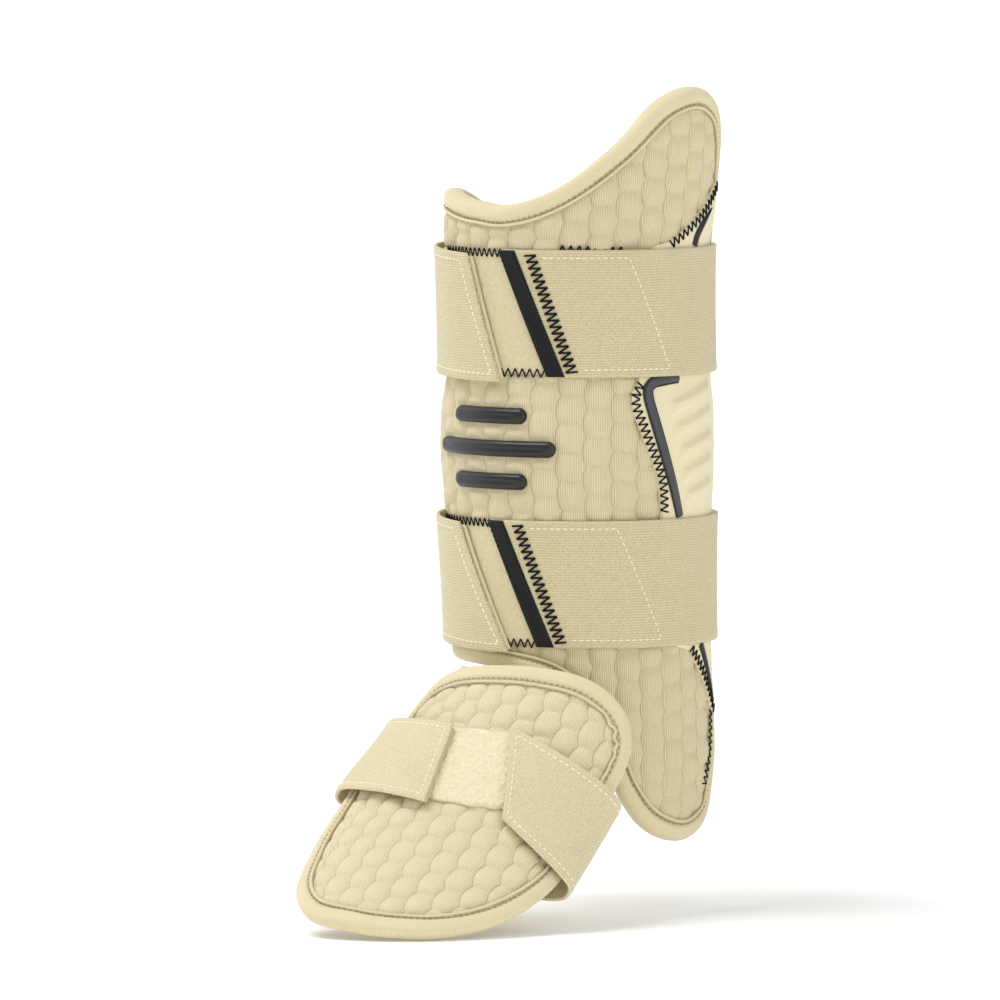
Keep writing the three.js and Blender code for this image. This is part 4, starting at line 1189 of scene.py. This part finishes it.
def make_bar(number, half_turn, z):
    half, tall = around_at(half_turn), BAR_HALF
    share = np.sin(np.linspace(-np.pi / 2, np.pi / 2, 61))
    a = share * half
    over = np.clip((np.abs(a) - (half - tall)) / tall, 0, 1)
    reach = tall * np.sqrt(np.maximum(1 - over**2, 0.0009))
    v = np.sin(np.linspace(-np.pi / 2, np.pi / 2, 17))
    grid = np.stack([np.repeat(a[:, None], 17, 1), z + reach[:, None] * v[None]], -1)
    dome = (1 - np.abs(v) ** 3)[None] ** 0.5 * (reach / tall)[:, None] ** 0.6
    groove = 0.5 * bump_at(v, 0.0, 0.16)[None] * ease(half - np.abs(a), 4, 9)[:, None]
    piece = Piece()
    piece.sheet(on_shin, grid, -BAR_SUNK + (BAR_RISE - groove) * dome, np.full(dome.shape, -BAR_SUNK - 0.3))
    piece.object(f"front_bar_rubber_{number}", f"front_bar_{number}", [DARK_RUBBER])


# Instep flap


def patch_share(across, down):
    """How far a place on the flap lies from the middle of its loop field: 1 at the field's edge."""
    x = (across / FLAP_HALF - FOOT_PATCH["across"]) / FOOT_PATCH["half_across"]
    y = (down / FLAP_LENGTH - FOOT_PATCH["along"]) / FOOT_PATCH["half_along"]
    return (np.abs(x) ** 3 + np.abs(y) ** 3) ** (1 / 3)


def make_instep_pad():
    rim = flap_edge + left_normals(flap_edge, closed=True) * (FLAP_EDGE_WIDTH * 0.5)
    grid = filled(rim, 196, 236)
    across, down = grid[..., 0], grid[..., 1]
    from_edge = distance_to(flap_edge, grid)
    cells = quilt(across, down, **FLAP_QUILT)
    sewn = 1 - ease(from_edge, FLAP_EDGE_WIDTH - 1, FLAP_EDGE_WIDTH + 5)
    pressed = 1 - ease(patch_share(across, down), 0.94, 1.12)
    puff = FLAP_PUFF * cells * (1 - 0.8 * pressed) * (1 - 0.55 * sewn)
    top = -SEAM_SUNK + puff - EDGE_DIP * sewn + 0.9 * pressed
    bottom = -FLAP_THICK + 0.3 * np.sin(down / 8.0) * np.sin(across / 11.0) + 0.7 * sewn
    piece = Piece()
    piece.sheet(on_flap, grid, top, bottom, 0, lining=1)
    pad = piece.object("instep_pad", "instep_guard", [LIT_FLAP_KNIT, LINING])


def make_instep_patch():
    angle = TURN * np.arange(220) / 220
    fray = 1 + 0.015 * np.sin(9 * angle) + 0.015 * np.sin(23 * angle + 1)
    x = signed_power(np.cos(angle), 0.8) * fray
    y = signed_power(np.sin(angle), np.where(angle < math.pi, 1.1, 0.7)) * fray
    across = (FOOT_PATCH["across"] + FOOT_PATCH["half_across"] * x) * FLAP_HALF
    down = (FOOT_PATCH["along"] + FOOT_PATCH["half_along"] * y) * FLAP_LENGTH
    loop = np.stack([across, down], -1)
    grid = filled(loop, 110, 70)
    a, b = grid[..., 0], grid[..., 1]
    full = np.clip(distance_to(loop, grid) / 1.8, 0, 1) ** 0.5
    tufts = 0.45 * np.sin(a * 1.1 + 2 * np.sin(b * 0.6)) * np.sin(b * 1.3 + 1.7 * np.sin(a * 0.7))
    piece = Piece()
    piece.sheet(on_flap, grid, (1.9 + tufts) * full, np.full(full.shape, -0.6))
    piece.object("instep_loop_field", "instep_patch", [LIT_LOOP_TAPE])


# Foot strap


class Ribbon:
    """Surface of the foot strap: distance along it, distance across it, and lift off its outer face."""

    def __init__(self):
        self.rows = 15
        lines = []
        for share in np.linspace(0, 1, self.rows):
            across = np.array([back + (front - back) * share for back, front, _, _ in FOOT_STRAP]) * FLAP_HALF
            down = np.array([row[2] for row in FOOT_STRAP]) * FLAP_LENGTH + (share - 0.5) * FOOT_STRAP_WIDTH
            lift = np.array([row[3] for row in FOOT_STRAP], float)
            lines.append(smooth_line(on_flap(across, down, lift), 240))
        self.grid = np.stack(lines, 1)
        run = np.gradient(self.grid, axis=0)
        wide = np.gradient(self.grid, axis=1)
        normal = np.cross(wide, run)
        self.normal = normal / np.linalg.norm(normal, axis=-1, keepdims=True)
        middle = self.grid[:, self.rows // 2]
        self.length = line_length(middle)

    def __call__(self, along, across, lift):
        along, across, lift = (np.asarray(x, float) for x in np.broadcast_arrays(along, across, lift))
        i = np.clip(along / self.length * (len(self.grid) - 1), 0, len(self.grid) - 1.001)
        j = np.clip(across / FOOT_STRAP_WIDTH * (self.rows - 1), 0, self.rows - 1.001)
        i0, j0 = i.astype(int), j.astype(int)
        s, t = (i - i0)[..., None], (j - j0)[..., None]

        def between(values):
            low = values[i0, j0] * (1 - t) + values[i0, j0 + 1] * t
            high = values[i0 + 1, j0] * (1 - t) + values[i0 + 1, j0 + 1] * t
            return low * (1 - s) + high * s

        return between(self.grid) + between(self.normal) * (FOOT_STRAP_THICK + lift)[..., None]


def make_foot_strap():
    """Elastic webbing of the foot strap, with three rows of stitches at each end."""
    ribbon = Ribbon()
    along = even_edges(230, ribbon.length) * ribbon.length
    across = even_edges(26, FOOT_STRAP_WIDTH) * FOOT_STRAP_WIDTH
    grid = grid_of(along, across)
    from_side = np.minimum(grid[..., 1], FOOT_STRAP_WIDTH - grid[..., 1])
    depth = np.minimum(from_side, np.minimum(grid[..., 0], ribbon.length - grid[..., 0]))
    full = np.sqrt(1 - (1 - np.clip(depth / 0.9, 0, 1)) ** 2)
    selvage = bump_at(from_side, 1.3, 0.6) + bump_at(from_side, 3.0, 0.6)
    middle = -FOOT_STRAP_THICK / 2
    half = FOOT_STRAP_THICK / 2 * full
    piece = Piece()
    piece.sheet(ribbon, grid, middle + half + 0.15 * selvage, middle - half)
    low, high = FOOT_ROW_INSET, FOOT_STRAP_WIDTH - FOOT_ROW_INSET
    for end, inner in (
        (FOOT_END_INSET, FOOT_ROW_REACH),
        (ribbon.length - FOOT_END_INSET, ribbon.length - FOOT_ROW_REACH),
    ):
        for row in (
            straight((end, low), (inner, low)),
            straight((end, high), (inner, high)),
            straight((end, low), (end, high)),
        ):
            stitches_on(piece, ribbon, row, 0.12, pitch=3.2, length=2.2, radius=0.36, finish=1)
    piece.object("foot_strap_webbing", "foot_strap", [LIT_FOOT_ELASTIC, PALE_THREAD])


def make_foot_tab(name, node, end_rows):
    """Hook tape under one end of the foot strap, by three rows of the strap's table."""
    back, front, down, _ = np.array(end_rows).T
    share = even_edges(26, 44.0)[None]
    along = even_edges(26, TAPE_LENGTH)
    back, front, down = (np.interp(along, np.linspace(0, 1, 3), row)[:, None] for row in (back, front, down))
    a = (back + (front - back) * share) * FLAP_HALF
    b = down * FLAP_LENGTH + (share * 2 - 1) * 0.94 * FOOT_STRAP_WIDTH / 2
    grid = np.stack([a, b], -1)
    full = rounded(grid, 0.6)
    piece = Piece()
    piece.sheet(on_flap, grid, FOOT_HOOK_LIFT + 0.7 * full, FOOT_HOOK_LIFT - 0.7 * full)
    piece.object(name, node, [HOOK_TAPE])


def make_ankle_web():
    """Folded cloth that hangs the flap on the shell."""
    a = np.linspace(*(around_at(turn) for turn in WEB_TURNS), 60)
    z = np.linspace(*(FLAP_UPPER_Z - drop for drop in WEB_DROPS), 22)
    grid = grid_of(a, z)
    full = rounded(grid, WEB_HALF + 0.1)
    piece = Piece()
    piece.sheet(on_shin, grid, WEB_LIFT + WEB_HALF * full, WEB_LIFT - WEB_HALF * full)
    web = piece.object("ankle_fold", "ankle_web", [PLAIN_KNIT])


# Studio: half size of the floor in metres, then each sun's direction, strength and softness in degrees.
FLOOR_HALF = 40.0
FLOOR_GAP = 0.001
SUNS = {
    "key": ((-0.45, -0.6, 1.6), 1.75, 35),
    "side": ((1.0, -0.2, 0.45), 0.75, 60),
    "fill": ((-1.0, -0.25, 0.35), 0.7, 60),
}

# The photograph's camera: direction in degrees, distance and width of view in metres, and shift of the frame.
CAMERA_TURN = 42.0
CAMERA_RISE = 3.9
CAMERA_DISTANCE = 6.0
VIEW_WIDTH = 0.49
FRAME_SHIFT = (-0.077, -0.055)


def make_floor():
    """Plain pale floor that glows faintly, so that it stays white."""
    floor_z = cad_low.z - FLOOR_GAP
    corners = [(x * FLOOR_HALF, y * FLOOR_HALF, floor_z) for x, y in ((-1, -1), (1, -1), (1, 1), (-1, 1))]
    mesh = bpy.data.meshes.new("floor")
    mesh.from_pydata(corners, [], [(0, 1, 2, 3)])
    floor = bpy.data.objects.new("floor", mesh)
    bpy.context.scene.collection.objects.link(floor)
    paint, _, shader = new_material("floor_paint")
    shader.inputs["Base Color"].default_value = (0.97, 0.97, 0.97, 1)
    shader.inputs["Emission Color"].default_value = (1.0, 1.0, 1.0, 1)
    shader.inputs["Emission Strength"].default_value = 0.1
    shader.inputs["Roughness"].default_value = 0.9
    mesh.materials.append(paint)


def make_light():
    """Soft daylight from all sides, a soft key from the upper left and a weaker sun from each side."""
    world = bpy.data.worlds.new("studio")
    world.use_nodes = True
    world.node_tree.nodes["Background"].inputs["Color"].default_value = (1.0, 1.0, 1.0, 1.0)
    world.node_tree.nodes["Background"].inputs["Strength"].default_value = 0.48
    bpy.context.scene.world = world
    for name, (toward, strength, softness) in SUNS.items():
        light = bpy.data.lights.new(name, "SUN")
        light.energy = strength
        light.angle = math.radians(softness)
        aim(bpy.data.objects.new(name, light), toward)


def aim(thing, toward):
    """Put a lamp or camera in the scene, with its back to a direction."""
    thing.rotation_mode = "QUATERNION"
    thing.rotation_quaternion = Vector(toward).to_track_quat("Z", "Y")
    bpy.context.scene.collection.objects.link(thing)


def make_camera():
    lens = bpy.data.cameras.new("photo")
    around, above = math.radians(CAMERA_TURN), math.radians(CAMERA_RISE)
    back = Vector((math.sin(around) * math.cos(above), -math.cos(around) * math.cos(above), math.sin(above)))
    lens.lens = lens.sensor_width * CAMERA_DISTANCE / VIEW_WIDTH
    lens.shift_x, lens.shift_y = FRAME_SHIFT
    lens.clip_end = 200
    camera = bpy.data.objects.new("photo", lens)
    camera.location = back * CAMERA_DISTANCE
    aim(camera, back)
    bpy.context.scene.camera = camera


make_floor()
make_light()
make_camera()
bpy.context.scene.view_settings.view_transform = "Standard"
make_shin_pad()
make_edge("shin_edge", "shin_binding", on_shin, shell_edge, EDGE_WIDTH, SHELL_THICK, shin_lip)
make_side_panel()
make_piping("upper_cord", "upper_piping", UPPER_PIPING, 40, DARK_RUBBER)
make_piping("side_cord", "side_piping", SIDE_PIPING, 110, GREY_RUBBER)
make_piping("lower_cord", "lower_piping", LOWER_PIPING, 40, DARK_RUBBER)
for prefix, strap in STRAPS.items():
    make_loop_field(prefix, strap)
    make_hook_end(prefix, strap)
    make_strap(prefix, strap)
    make_label(prefix, strap)
for number, (half_turn, z) in enumerate(BARS, 1):
    make_bar(number, half_turn, z)
make_instep_pad()
make_edge("instep_edge", "instep_binding", on_flap, flap_edge, FLAP_EDGE_WIDTH, FLAP_THICK, flap_lip)
make_instep_patch()
make_foot_strap()
make_foot_tab("outer_foot_hook", "outer_foot_tab", FOOT_STRAP[:3])
make_foot_tab("inner_foot_hook", "inner_foot_tab", FOOT_STRAP[:-4:-1])
make_ankle_web()
